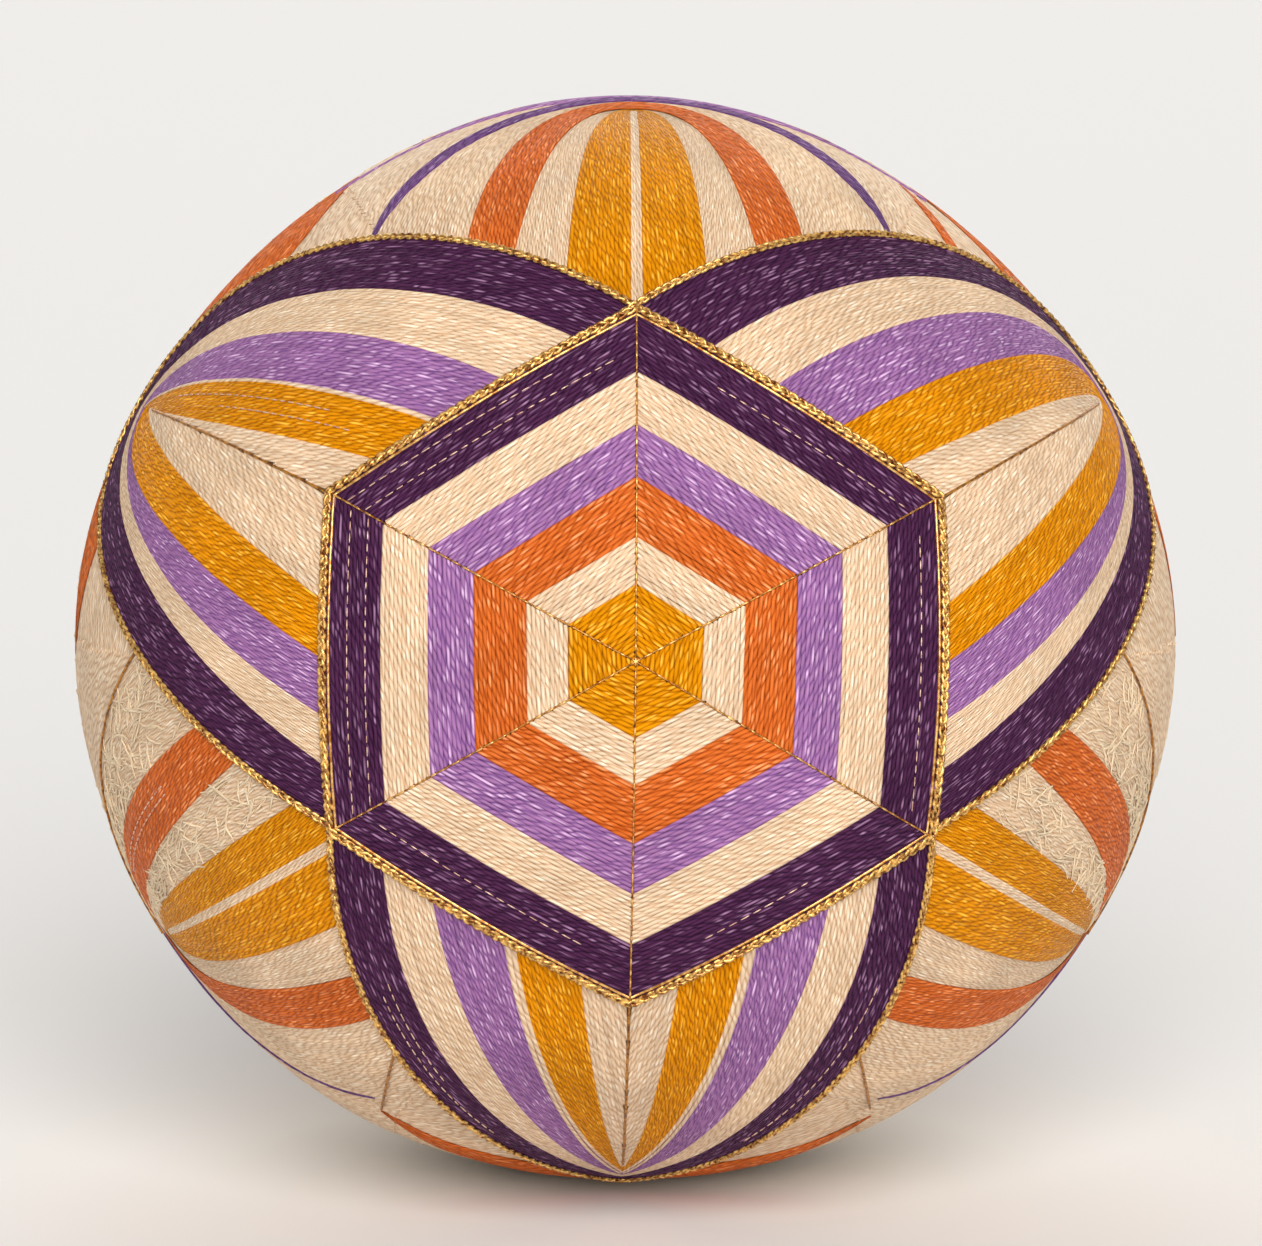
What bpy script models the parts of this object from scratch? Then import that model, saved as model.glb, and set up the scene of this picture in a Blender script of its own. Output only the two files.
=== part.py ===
"""Temari ball: a thread-wound ball with a stitched hexagon, six petals and couched gold braid.

Metres, +Z up. The ball rests on a small flat spot centred on the origin, and its front
motif looks along -Y, tipped slightly up. The stitched bands are thin shells that follow
the ball. They are drawn on a flat map of the ball's surface: a point's distance from the
middle of the map is its distance along the surface from the middle of the motif.
"""

import math

import bmesh
import bpy
from mathutils import Vector

MM = 0.001

# The wound ball
DESIGN_RADIUS = 47.75          # a ball 300 mm round, as the bands are marked out on it
BALL_RADIUS = 47.4             # the wound ground under the bands
FLAT_DEPTH = 0.45              # how far the ball settles into its flat spot
BALL_RINGS = 22
BALL_SLICES = 48

# How far the hand-wound ball is out of round, seen from the front
LUMPS = (
    # waves round, cosine mm, sine mm
    (2, 0.29, 0.00),
    (3, 0.00, -0.33),
    (4, 0.28, 0.00),
    (5, 0.00, 0.20),
    (6, 0.13, 0.00),
)

# Where the front motif looks
POLE_UP = 6.3                  # degrees above the horizontal
POLE_SIDE = 1.0                # degrees towards +X

# Heights of the stitched layers above the wound ground, mm
SEAT_GAP = 0.35
SPINDLE_THICK = 0.35
PETAL_THICK = 0.50
HEXAGON_THICK = 0.65

# Couched braid, mm
BRAID_RADIUS = 0.42
BRAID_SIDES_RESOLUTION = 1
CHANNEL = 0.80                 # from the braid's middle to the bands beside it
CROSSING_GAP = 1.0             # from the hexagon's braid to the ends of a petal's braid

BAND_GAP = 0.22                # each band's edge stands back by this much
BACK_SCALE = 0.84              # the back motif is smaller, clear of the flat spot

# Azimuths of the hexagon's corners on the map, degrees counterclockwise from the right
CORNERS = (27.6, 89.4, 151.3, 209.6, 269.3, 328.9)
BACK_CORNERS = (30.0, 90.0, 150.0, 210.0, 270.0, 330.0)
HEXAGON_CORNER_REACH = 29.9

# Rings of the hexagon: the distance of their corners from the middle, mm
HEXAGON_RINGS = (
    # name, inner reach, outer reach, colour
    ("hexagon_heart", 0.0, 6.1, "gold"),
    ("hexagon_ring_1", 6.1, 9.9, "cream"),
    ("hexagon_ring_2", 9.9, 14.8, "orange"),
    ("hexagon_ring_3", 14.8, 19.2, "lilac"),
    ("hexagon_ring_4", 19.2, 23.9, "cream"),
    ("hexagon_ring_5", 23.9, 29.9, "purple"),
)

# Half petals: each border is an oval arc on the map, told by the middle of the oval, its
# half width, its fullness (0.5 is an ellipse, more is slimmer at the tip) and its tip.
PETAL_BORDERS = {
    # border: centre mm, half width mm, fullness, tip mm
    "left_upper": {
        "edge": (24.0, 27.3, 0.50, 67.8),
        "purple": (18.6, 21.6, 0.63, 66.0),
        "cream": (21.1, 15.5, 0.64, 64.8),
        "lilac": (4.5, 10.6, 0.75, 63.7),
        "gold": (4.6, 6.3, 2.00, 61.5),
    },
    "right_upper": {
        "edge": (24.7, 27.6, 0.47, 67.8),
        "purple": (29.0, 21.3, 0.50, 66.0),
        "cream": (32.5, 15.8, 0.43, 64.8),
        "lilac": (32.6, 9.6, 0.38, 63.7),
        "gold": (5.1, 4.5, 0.51, 61.5),
    },
    "lower": {
        "edge": (18.9, 25.1, 0.47, 67.8),
        "purple": (12.1, 20.8, 0.58, 66.0),
        "cream": (20.8, 16.8, 0.60, 64.8),
        "lilac": (12.7, 12.8, 0.45, 63.7),
        "gold": (5.2, 9.1, 0.75, 61.5),
    },
    "bottom": {
        "edge": (19.1, 26.1, 0.80, 63.4),
        "purple": (17.5, 21.2, 0.86, 61.6),
        "cream": (10.2, 17.5, 0.85, 60.6),
        "lilac": (14.6, 10.7, 0.96, 59.6),
        "gold": (4.3, 5.1, 0.93, 57.6),
    },
}
PETAL_BANDS = (
    # name, outer border, inner border
    ("purple", "edge", "purple"),
    ("cream", "purple", "cream"),
    ("lilac", "cream", "lilac"),
    ("gold", "lilac", "gold"),
)
PETALS = (
    # name, azimuth of the axis, its lean at the tip, clockwise half, counterclockwise half
    ("petal_right", 27.4, 0.0, "lower", "right_upper"),
    ("petal_left", 151.5, 1.8, "left_upper", "lower"),
    ("petal_bottom", 269.2, 0.0, "bottom", "bottom"),
)
BACK_PETALS = (
    ("back_petal_top", 90.0, 0.0, "bottom", "bottom"),
    ("back_petal_left", 210.0, 0.0, "bottom", "bottom"),
    ("back_petal_right", 330.0, 0.0, "bottom", "bottom"),
)

AXIS_OVAL = (0.0, 0.0, 0.5)    # a petal's own axis as a border, up to its heart's tip

# Half spindles, the narrow under-petals, told in the same way
SPINDLE_BORDERS = {
    "top": {
        "gold": (32.0, 6.2, 0.36, 61.0),
        "cream": (12.0, 12.5, 0.38, 62.0),
        "orange": (36.0, 15.9, 0.48, 63.2),
    },
    "low_upper": {
        "gold": (31.5, 4.8, 0.32, 65.0),
        "cream": (15.0, 11.6, 0.40, 66.3),
        "orange": (40.0, 15.7, 0.35, 67.6),
    },
    "low_lower": {
        "gold": (32.0, 6.6, 0.45, 65.0),
        "cream": (12.0, 12.9, 0.42, 66.3),
        "orange": (37.5, 16.3, 0.50, 67.6),
    },
}
SPINDLE_LINE = 0.55            # half width of the cream line along a spindle's axis
SPINDLE_LINE_FULLNESS = 0.1
SPINDLE_LINE_TIP = 59.5
SPINDLES = (
    # name, azimuth of the axis, clockwise half, counterclockwise half
    ("spindle_top", 89.3, "top", "top"),
    ("spindle_left", 211.7, "low_upper", "low_lower"),
    ("spindle_right", 327.8, "low_lower", "low_upper"),
)
BACK_SPINDLES = (
    ("back_spindle_right", 30.0, "top", "top"),
    ("back_spindle_left", 150.0, "top", "top"),
    ("back_spindle_bottom", 270.0, "top", "top"),
)

# A leaning petal's axis bends between these distances from the middle, mm
LEAN_START = 29.0
LEAN_END = 62.0
MOST_LEAN = 1.1                # the share of the lean past the tip

# Steps along the curves
ARM_STEPS = 9                  # sections from the hexagon to a petal's tip
SIDE_STEPS = 4                 # sections along one side of the hexagon
BRAID_SIDE_STEPS = 7           # points of the braid along one side of the hexagon
BRAID_STEPS = 16               # points of a braid from the hexagon to a petal's tip
HEART_ACROSS = 2               # faces across each half of a petal's heart
BACK_ACROSS = 6                # faces across a petal or spindle of the back
BACK_RINGS = 4                 # rings of faces in the back's hexagon
SCAN_STEPS = 60                # how finely a border is searched for its start
HALVINGS = 20                  # how often the search then halves its step
MIN_SLANT = 0.35               # a section that meets a border flatter than this is taken as this
MOST_TRIM = 0.4                # the most of a section's width that a gap takes
LOW_END = -25.0                # degrees round its oval where a border's search ends
SHARP_ANGLE = 40.0             # degrees between faces that keep a sharp edge

COLOURS = {
    # name: red, green, blue (linear), roughness, metallic
    "ground": ((0.80, 0.66, 0.47), 0.90, 0.0),
    "cream": ((0.83, 0.68, 0.48), 0.75, 0.0),
    "gold": ((0.76, 0.30, 0.01), 0.60, 0.0),
    "orange": ((0.63, 0.11, 0.02), 0.60, 0.0),
    "lilac": ((0.32, 0.14, 0.42), 0.60, 0.0),
    "purple": ((0.045, 0.017, 0.058), 0.60, 0.0),
    "braid": ((0.66, 0.36, 0.09), 0.30, 1.0),
}


def clear_scene():
    """Remove whatever the scene holds."""
    for item in list(bpy.data.objects):
        bpy.data.objects.remove(item, do_unlink=True)


def make_material(name):
    """A Principled material in one of the thread colours."""
    rgb, roughness, metallic = COLOURS[name]
    material = bpy.data.materials.new(name + "_thread")
    material.use_nodes = True
    shader = material.node_tree.nodes["Principled BSDF"]
    shader.inputs["Base Color"].default_value = (*rgb, 1.0)
    shader.inputs["Roughness"].default_value = roughness
    shader.inputs["Metallic"].default_value = metallic
    material.diffuse_color = (*rgb, 1.0)
    return material


def ball_radius(direction):
    """The wound ball's radius in mm along a direction, with its slight lumps."""
    around = math.atan2(direction.z, direction.x)
    swell = sum(c * math.cos(n * around) + s * math.sin(n * around) for n, c, s in LUMPS)
    return BALL_RADIUS + (1.0 - direction.y ** 2) * swell


CENTRE_HEIGHT = ball_radius(Vector((0, 0, -1))) - FLAT_DEPTH


class Map:
    """The flat map of one side of the ball."""

    def __init__(self, pole, scale):
        self.pole = pole
        self.right = Vector((0, 0, 1)).cross(pole).normalized()
        self.up = pole.cross(self.right)
        self.scale = scale

    def place(self, point, lift):
        """The place in metres of a map point, raised by lift mm off the wound ball."""
        reach = math.hypot(*point) * self.scale / DESIGN_RADIUS
        azimuth = math.atan2(point[1], point[0])
        flat = self.right * math.cos(azimuth) + self.up * math.sin(azimuth)
        direction = self.pole * math.cos(reach) + flat * math.sin(reach)
        spot = direction * (ball_radius(direction) + lift)
        spot.z += CENTRE_HEIGHT
        return spot * MM


def front_pole():
    """The direction in which the front motif looks."""
    up, side = math.radians(POLE_UP), math.radians(POLE_SIDE)
    return Vector((math.sin(side) * math.cos(up), -math.cos(side) * math.cos(up), math.sin(up)))


def polar(reach, azimuth):
    """A map point from its distance in mm and its azimuth in degrees."""
    return (reach * math.cos(math.radians(azimuth)), reach * math.sin(math.radians(azimuth)))


def mix(a, b, share):
    """The point that lies a share of the way from a to b."""
    return (a[0] + (b[0] - a[0]) * share, a[1] + (b[1] - a[1]) * share)


def oval(border, turn):
    """A border's point in its own half, turn degrees round its oval (90 is the tip)."""
    centre, half_width, fullness, tip = border
    along = centre + (tip - centre) * math.sin(math.radians(turn))
    return along, half_width * max(math.cos(math.radians(turn)), 0.0) ** (2 * fullness)


def seat_on_axis(local, side, azimuth, lean):
    """Turn a half's own point onto the map. side is -1 clockwise, 1 counterclockwise."""
    reach = math.hypot(*local)
    share = min(max((reach - LEAN_START) / (LEAN_END - LEAN_START), 0.0), MOST_LEAN)
    offset = math.degrees(math.atan2(local[1], local[0])) * side
    return polar(reach, azimuth + lean * share + offset)


def hexagon_corners(corners, reach):
    """The corners of a ring of the hexagon."""
    return [polar(reach, azimuth) for azimuth in corners]


def outside_hexagon(point, corners):
    """How far a map point lies outside the hexagon's braid, mm."""
    ring = hexagon_corners(corners, HEXAGON_CORNER_REACH)
    best = -1e9
    for a, b in zip(ring, ring[1:] + ring[:1]):
        length = math.dist(a, b)
        away = ((b[1] - a[1]) * (point[0] - a[0]) - (b[0] - a[0]) * (point[1] - a[1])) / length
        best = max(best, away)
    return best


def distance_to_line(point, line):
    """The distance from a map point to a run of map points."""
    best = 1e9
    for a, b in zip(line, line[1:]):
        run = (b[0] - a[0], b[1] - a[1])
        share = ((point[0] - a[0]) * run[0] + (point[1] - a[1]) * run[1]) / (run[0] ** 2 + run[1] ** 2)
        best = min(best, math.dist(point, mix(a, b, min(max(share, 0.0), 1.0))))
    return best


def find_start(curve, clearance):
    """How far back from its tip a curve stays clear. curve(turn) gives a map point."""
    step = (90.0 - LOW_END) / SCAN_STEPS
    clear = 90.0
    while clear > LOW_END and clearance(curve(clear - step)) > 0:
        clear -= step
    blocked = clear - step
    for _ in range(HALVINGS):
        middle = (clear + blocked) / 2
        if clearance(curve(middle)) > 0:
            clear = middle
        else:
            blocked = middle
    return clear


def slant(curve, turn, a, b):
    """The sine of the angle at which the section from a to b meets a border."""
    before, after = curve(turn - 1.0), curve(min(turn + 1.0, 90.0))
    run = (after[0] - before[0], after[1] - before[1])
    cross = run[0] * (b[1] - a[1]) - run[1] * (b[0] - a[0])
    return max(abs(cross) / max(math.hypot(*run) * math.dist(a, b), 1e-9), MIN_SLANT)


def trim(outer, inner, turn, gaps):
    """The section between two borders, standing back from each by its gap in mm."""
    a, b = outer(turn), inner(turn)
    width = max(math.dist(a, b), 1e-6)
    start = gaps[0] / slant(outer, turn, a, b) / width
    end = gaps[1] / slant(inner, turn, a, b) / width
    return mix(a, b, min(start, MOST_TRIM)), mix(a, b, 1 - min(end, MOST_TRIM))


def arm(outer, inner, gaps, across, clearance, steps):
    """Sections of one arm of a band, from its start to its tip.

    outer and inner give a map point for a turn round their ovals.
    """
    columns = []
    for j in range(across + 1):
        def curve(turn, share=j / across):
            a, b = trim(outer, inner, turn, gaps)
            return mix(a, b, share)
        start = find_start(curve, clearance)
        columns.append([curve(start + (90.0 - start) * i / steps) for i in range(steps + 1)])
    return [list(section) for section in zip(*columns)]


def make_object(name, mesh, material):
    """Put a mesh into the scene, shaded smooth, with its material."""
    item = bpy.data.objects.new(name, mesh)
    bpy.context.scene.collection.objects.link(item)
    mesh.materials.append(material)
    mesh.shade_smooth()
    mesh.set_sharp_from_angle(angle=math.radians(SHARP_ANGLE))
    return item


def shell(name, sections, flat_map, thick, material, ring=False):
    """A thin closed shell over the ball from sections of map points."""
    work = bmesh.new()
    levels = []
    for lift in (SEAT_GAP, SEAT_GAP + thick):
        levels.append([[work.verts.new(flat_map.place(p, lift)) for p in s] for s in sections])
    low, high = levels
    count = len(sections)
    last = len(sections[0]) - 1
    for i in range(count if ring else count - 1):
        n = (i + 1) % count
        for j in range(last):
            work.faces.new((high[i][j], high[n][j], high[n][j + 1], high[i][j + 1]))
            work.faces.new((low[i][j], low[i][j + 1], low[n][j + 1], low[n][j]))
        work.faces.new((low[i][0], low[n][0], high[n][0], high[i][0]))
        work.faces.new((low[i][last], high[i][last], high[n][last], low[n][last]))
    if not ring:
        for i in (0, count - 1):
            for j in range(last):
                work.faces.new((low[i][j], high[i][j], high[i][j + 1], low[i][j + 1]))
    bmesh.ops.recalc_face_normals(work, faces=work.faces)
    mesh = bpy.data.meshes.new(name)
    work.to_mesh(mesh)
    work.free()
    return make_object(name, mesh, material)


def hexagon_path(corners, reach, steps):
    """Map points round a ring of the hexagon."""
    ring = hexagon_corners(corners, reach)
    path = []
    for a, b in zip(ring, ring[1:] + ring[:1]):
        path += [mix(a, b, i / steps) for i in range(steps)]
    return path


def disc(name, rings, flat_map, thick, material):
    """A thin closed disc over the ball, from rings of map points round its middle."""
    work = bmesh.new()
    skins = []
    for lift in (SEAT_GAP, SEAT_GAP + thick):
        middle = work.verts.new(flat_map.place((0.0, 0.0), lift))
        loops = [[work.verts.new(flat_map.place(p, lift)) for p in ring] for ring in rings]
        count = len(loops[0])
        for i in range(count):
            work.faces.new((middle, loops[0][i], loops[0][(i + 1) % count]))
            for near, far in zip(loops, loops[1:]):
                n = (i + 1) % count
                work.faces.new((near[i], far[i], far[n], near[n]))
        skins.append(loops[-1])
    low, high = skins
    for i in range(len(low)):
        n = (i + 1) % len(low)
        work.faces.new((low[i], low[n], high[n], high[i]))
    bmesh.ops.recalc_face_normals(work, faces=work.faces)
    mesh = bpy.data.meshes.new(name)
    work.to_mesh(mesh)
    work.free()
    return make_object(name, mesh, material)


def braid(name, points, flat_map, lift, material, ring=False):
    """A couched braid as a thin tube along map points."""
    curve = bpy.data.curves.new(name, "CURVE")
    curve.dimensions = "3D"
    curve.bevel_depth = BRAID_RADIUS * MM
    curve.bevel_resolution = BRAID_SIDES_RESOLUTION
    curve.use_fill_caps = True
    spline = curve.splines.new("POLY")
    spline.points.add(len(points) - 1)
    for slot, point in zip(spline.points, points):
        slot.co = (*flat_map.place(point, lift), 1.0)
    spline.use_cyclic_u = ring
    item = bpy.data.objects.new(name, curve)
    bpy.context.scene.collection.objects.link(item)
    curve.materials.append(material)
    return item


def petal_curve(petal, border, side):
    """A petal's border as a function of the turn round its oval."""
    _, azimuth, lean, clockwise, counter = petal
    rows = PETAL_BORDERS[clockwise if side < 0 else counter]
    row = (*AXIS_OVAL, rows["gold"][3]) if border == "axis" else rows[border]
    return lambda turn: seat_on_axis(oval(row, turn), side, azimuth, lean)


def petal_edge(petal, side, corners, clearance, steps):
    """Map points along one edge of a petal, from its start to its tip."""
    curve = petal_curve(petal, "edge", side)
    start = find_start(curve, lambda p: outside_hexagon(p, corners) - clearance)
    return [curve(start + (90.0 - start) * i / steps) for i in range(steps + 1)]


def whole_edge(petal, corners, clearance, steps=SCAN_STEPS):
    """A petal's edge from one side of the hexagon round its tip to the other."""
    there = petal_edge(petal, -1, corners, clearance, steps)
    back = petal_edge(petal, 1, corners, clearance, steps)
    return there + back[-2::-1]


def build_ball(material):
    """The wound ball: a slightly uneven round with a flat spot underneath."""
    down = ball_radius(Vector((0, 0, -1)))
    rim = math.acos(CENTRE_HEIGHT / down)
    work = bmesh.new()
    rings = []
    for i in range(BALL_RINGS):
        tilt = rim + (math.pi - rim) * i / BALL_RINGS
        ring = []
        for k in range(BALL_SLICES):
            turn = 2 * math.pi * k / BALL_SLICES
            direction = Vector((math.sin(tilt) * math.cos(turn), math.sin(tilt) * math.sin(turn),
                                -math.cos(tilt)))
            spot = direction * ball_radius(direction)
            spot.z = 0.0 if i == 0 else spot.z + CENTRE_HEIGHT
            ring.append(work.verts.new(spot * MM))
        rings.append(ring)
    top = work.verts.new(Vector((0, 0, CENTRE_HEIGHT + ball_radius(Vector((0, 0, 1))))) * MM)
    work.faces.new(rings[0])
    for k in range(BALL_SLICES):
        n = (k + 1) % BALL_SLICES
        for lower, upper in zip(rings, rings[1:]):
            work.faces.new((lower[k], lower[n], upper[n], upper[k]))
        work.faces.new((rings[-1][k], rings[-1][n], top))
    bmesh.ops.recalc_face_normals(work, faces=work.faces)
    mesh = bpy.data.meshes.new("ball")
    work.to_mesh(mesh)
    work.free()
    return make_object("ball", mesh, material)


def ring_reach(reach, inward):
    """A ring corner's reach once its sides stand back by a distance in mm."""
    return reach + inward / math.cos(math.radians(30.0))


def build_hexagon(flat_map, materials):
    """The hexagon's heart and its five rings."""
    for name, inner, outer, colour in HEXAGON_RINGS:
        last = outer == HEXAGON_CORNER_REACH
        far = ring_reach(outer, -CHANNEL if last else -BAND_GAP)
        if inner == 0.0:
            loops = [hexagon_path(CORNERS, far / 2, 2), hexagon_path(CORNERS, far, 2)]
            disc(name, loops, flat_map, HEXAGON_THICK, materials[colour])
            continue
        near = ring_reach(inner, BAND_GAP)
        sections = zip(hexagon_path(CORNERS, far, SIDE_STEPS), hexagon_path(CORNERS, near, SIDE_STEPS))
        shell(name, [list(s) for s in sections], flat_map, HEXAGON_THICK, materials[colour], ring=True)


def build_petal(petal, flat_map, materials):
    """A petal's four bands and its heart, outside in."""
    def clearance(point):
        return outside_hexagon(point, CORNERS) - CHANNEL

    name = petal[0]
    for colour, outer, inner in PETAL_BANDS:
        gaps = (CHANNEL if outer == "edge" else BAND_GAP, BAND_GAP)
        arms = [arm(petal_curve(petal, outer, side), petal_curve(petal, inner, side), gaps, 1,
                    clearance, ARM_STEPS) for side in (-1, 1)]
        sections = arms[0] + arms[1][-2::-1]
        shell(f"{name}_{colour}", sections, flat_map, PETAL_THICK, materials[colour])
    halves = [arm(petal_curve(petal, "gold", side), petal_curve(petal, "axis", side), (BAND_GAP, 0.0),
                  HEART_ACROSS, clearance, ARM_STEPS)[:-1] for side in (-1, 1)]
    heart = [there + back[-2::-1] for there, back in zip(*halves)]
    shell(f"{name}_heart", heart, flat_map, PETAL_THICK, materials["cream"])


def spindle_curve(spindle, border, side):
    """A spindle's border as a function of the turn round its oval."""
    _, azimuth, clockwise, counter = spindle
    if border == "line":
        return lambda turn: seat_on_axis(line_point(turn), side, azimuth, 0.0)
    row = SPINDLE_BORDERS[clockwise if side < 0 else counter][border]
    return lambda turn: seat_on_axis(oval(row, turn), side, azimuth, 0.0)


def line_point(turn):
    """The edge of the cream line along a spindle's axis."""
    return oval((0.0, SPINDLE_LINE, SPINDLE_LINE_FULLNESS, SPINDLE_LINE_TIP), turn)


def build_spindle(spindle, edges, flat_map, materials):
    """A spindle's gold band and orange band. The cream between them is the wound ground."""
    def clearance(point):
        return min(distance_to_line(point, edge) for edge in edges) - CHANNEL

    for colour, outer, inner in (("gold", "gold", "line"), ("orange", "orange", "cream")):
        arms = [arm(spindle_curve(spindle, outer, side), spindle_curve(spindle, inner, side),
                    (BAND_GAP, BAND_GAP), 1, clearance, ARM_STEPS) for side in (-1, 1)]
        shell(f"{spindle[0]}_{colour}", arms[0] + arms[1][-2::-1], flat_map, SPINDLE_THICK,
              materials[colour])


def build_braids(prefix, petals, corners, flat_map, material):
    """The braid round the hexagon and the three round the petals."""
    on_hexagon = SEAT_GAP + BRAID_RADIUS
    ring = hexagon_path(corners, HEXAGON_CORNER_REACH, BRAID_SIDE_STEPS)
    braid(prefix + "braid_hexagon", ring, flat_map, on_hexagon, material, ring=True)
    for petal in petals:
        edge = whole_edge(petal, corners, CROSSING_GAP / flat_map.scale, BRAID_STEPS)
        name = prefix + "braid_" + petal[0].replace("back_", "")
        braid(name, edge, flat_map, on_hexagon, material)


def build_back(flat_map, materials):
    """The plain back: the same motif, smaller and turned, in one solid for each part."""
    channel = CHANNEL / flat_map.scale
    reach = ring_reach(HEXAGON_CORNER_REACH, -channel)
    loops = [hexagon_path(BACK_CORNERS, reach * (i + 1) / BACK_RINGS, SIDE_STEPS)
             for i in range(BACK_RINGS)]
    disc("back_hexagon", loops, flat_map, HEXAGON_THICK, materials["purple"])

    def off_hexagon(point):
        return outside_hexagon(point, BACK_CORNERS) - channel

    edges = [whole_edge(petal, BACK_CORNERS, 0.0) for petal in BACK_PETALS]
    for petal in BACK_PETALS:
        rows = arm(petal_curve(petal, "edge", -1), petal_curve(petal, "edge", 1), (channel, channel),
                   BACK_ACROSS, off_hexagon, ARM_STEPS)
        shell(petal[0], rows[:-1], flat_map, PETAL_THICK, materials["lilac"])

    def off_petals(point):
        return min(distance_to_line(point, edge) for edge in edges) - channel

    for spindle in BACK_SPINDLES:
        rows = arm(spindle_curve(spindle, "orange", -1), spindle_curve(spindle, "orange", 1),
                   (BAND_GAP, BAND_GAP), BACK_ACROSS, off_petals, ARM_STEPS)
        shell(spindle[0], rows[:-1], flat_map, SPINDLE_THICK, materials["orange"])
    build_braids("back_", BACK_PETALS, BACK_CORNERS, flat_map, materials["braid"])


def main():
    """Build the whole ball."""
    clear_scene()
    materials = {name: make_material(name) for name in COLOURS}
    front = Map(front_pole(), 1.0)
    build_ball(materials["ground"])
    build_hexagon(front, materials)
    for petal in PETALS:
        build_petal(petal, front, materials)
    edges = [whole_edge(petal, CORNERS, 0.0) for petal in PETALS]
    for spindle in SPINDLES:
        build_spindle(spindle, edges, front, materials)
    build_braids("", PETALS, CORNERS, front, materials["braid"])
    build_back(Map(-front_pole(), BACK_SCALE), materials)


main()
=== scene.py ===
"""Dress the temari ball: every row of thread, the couched braid and the guide stitches.

Metres, in the frame of the solids: +Z up, the ball on its flat spot at the origin, the
front motif looking along -Y. The motif is drawn on a flat map of the ball in millimetres:
a point's distance from the middle of the map is its distance along the surface from the
middle of the motif.
"""

import math
import random
from functools import partial

import bpy
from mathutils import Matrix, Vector


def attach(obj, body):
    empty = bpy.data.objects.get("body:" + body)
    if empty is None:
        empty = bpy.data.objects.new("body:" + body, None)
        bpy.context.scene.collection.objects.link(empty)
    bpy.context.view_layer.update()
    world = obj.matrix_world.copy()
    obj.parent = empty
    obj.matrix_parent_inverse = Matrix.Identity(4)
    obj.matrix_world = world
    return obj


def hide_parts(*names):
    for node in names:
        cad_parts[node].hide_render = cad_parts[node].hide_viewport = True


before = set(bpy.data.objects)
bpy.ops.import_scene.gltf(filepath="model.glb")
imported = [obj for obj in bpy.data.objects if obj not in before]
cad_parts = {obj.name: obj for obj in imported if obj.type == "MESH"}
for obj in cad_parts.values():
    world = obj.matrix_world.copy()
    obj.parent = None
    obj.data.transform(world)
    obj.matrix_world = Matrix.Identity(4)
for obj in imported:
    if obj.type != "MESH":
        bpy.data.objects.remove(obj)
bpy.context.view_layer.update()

bl_info = {
    "name": "Temari ball",
    "version": (1, 0, 0),
    "blender": (4, 5, 0),
    "location": "3D View > Sidebar > Temari",
    "description": "Lays the threads, the couched braid and the stage of a temari ball",
    "category": "Object",
}

MM = 0.001

# The wound ball, as in the solids, mm
DESIGN_RADIUS = 47.75
BALL_RADIUS = 47.4
FLAT_DEPTH = 0.45
LUMPS = (
    # waves round, cosine mm, sine mm
    (2, 0.29, 0.00),
    (3, 0.00, -0.33),
    (4, 0.28, 0.00),
    (5, 0.00, 0.20),
    (6, 0.13, 0.00),
)
POLE_UP = 6.3                  # degrees above the horizontal
POLE_SIDE = 1.0                # degrees towards +X
BACK_SCALE = 0.84
BALL_RINGS = 64
BALL_SLICES = 128
BALL_INSET = 0.08              # of the ball's body under its own solid, mm
FLOOR_CLEARANCE = 0.22         # of a thread's middle over the floor, mm

# How high the middle of each layer of thread lies over the wound ball, mm
WINDING_LIFT = 0.02
PETAL_FIELD_LIFT = 0.04
FIELD_LIFT = 0.12
RIM_LIFT = 0.24
SPINDLE_CREAM_LIFT = 0.22
OUTLINE_LIFT = 0.31
STRAY_LIFT = 0.335
SPINDLE_LIFT = 0.34
PETAL_LIFT = 0.50
HEXAGON_LIFT = 0.68
PETAL_BRAID_LIFT = 0.68
HEXAGON_BRAID_LIFT = 0.88

# How high the middle of a fine thread lies over the middle of the rows below it, mm
FRINGE_RISE = 0.06
EDGING_RISE = 0.10
METAL_RISE = 0.11
AXIS_RISE = 0.12
GUIDE_RISE = 0.14
STITCH_RISE = 0.18

# Azimuths of the hexagon's corners on the map, degrees counterclockwise from the right
CORNERS = (27.6, 89.4, 151.3, 209.6, 269.3, 328.9)
BACK_CORNERS = (30.0, 90.0, 150.0, 210.0, 270.0, 330.0)
CORNER_REACH = 29.9

HEXAGON_RINGS = (
    # name, inner reach mm, outer reach mm, colour
    ("hexagon_heart", 0.0, 6.1, "gold"),
    ("hexagon_ring_1", 6.1, 9.9, "cream"),
    ("hexagon_ring_2", 9.9, 14.8, "orange"),
    ("hexagon_ring_3", 14.8, 19.2, "lilac"),
    ("hexagon_ring_4", 19.2, 23.9, "cream"),
    ("hexagon_ring_5", 23.9, 29.9, "purple"),
)

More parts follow.
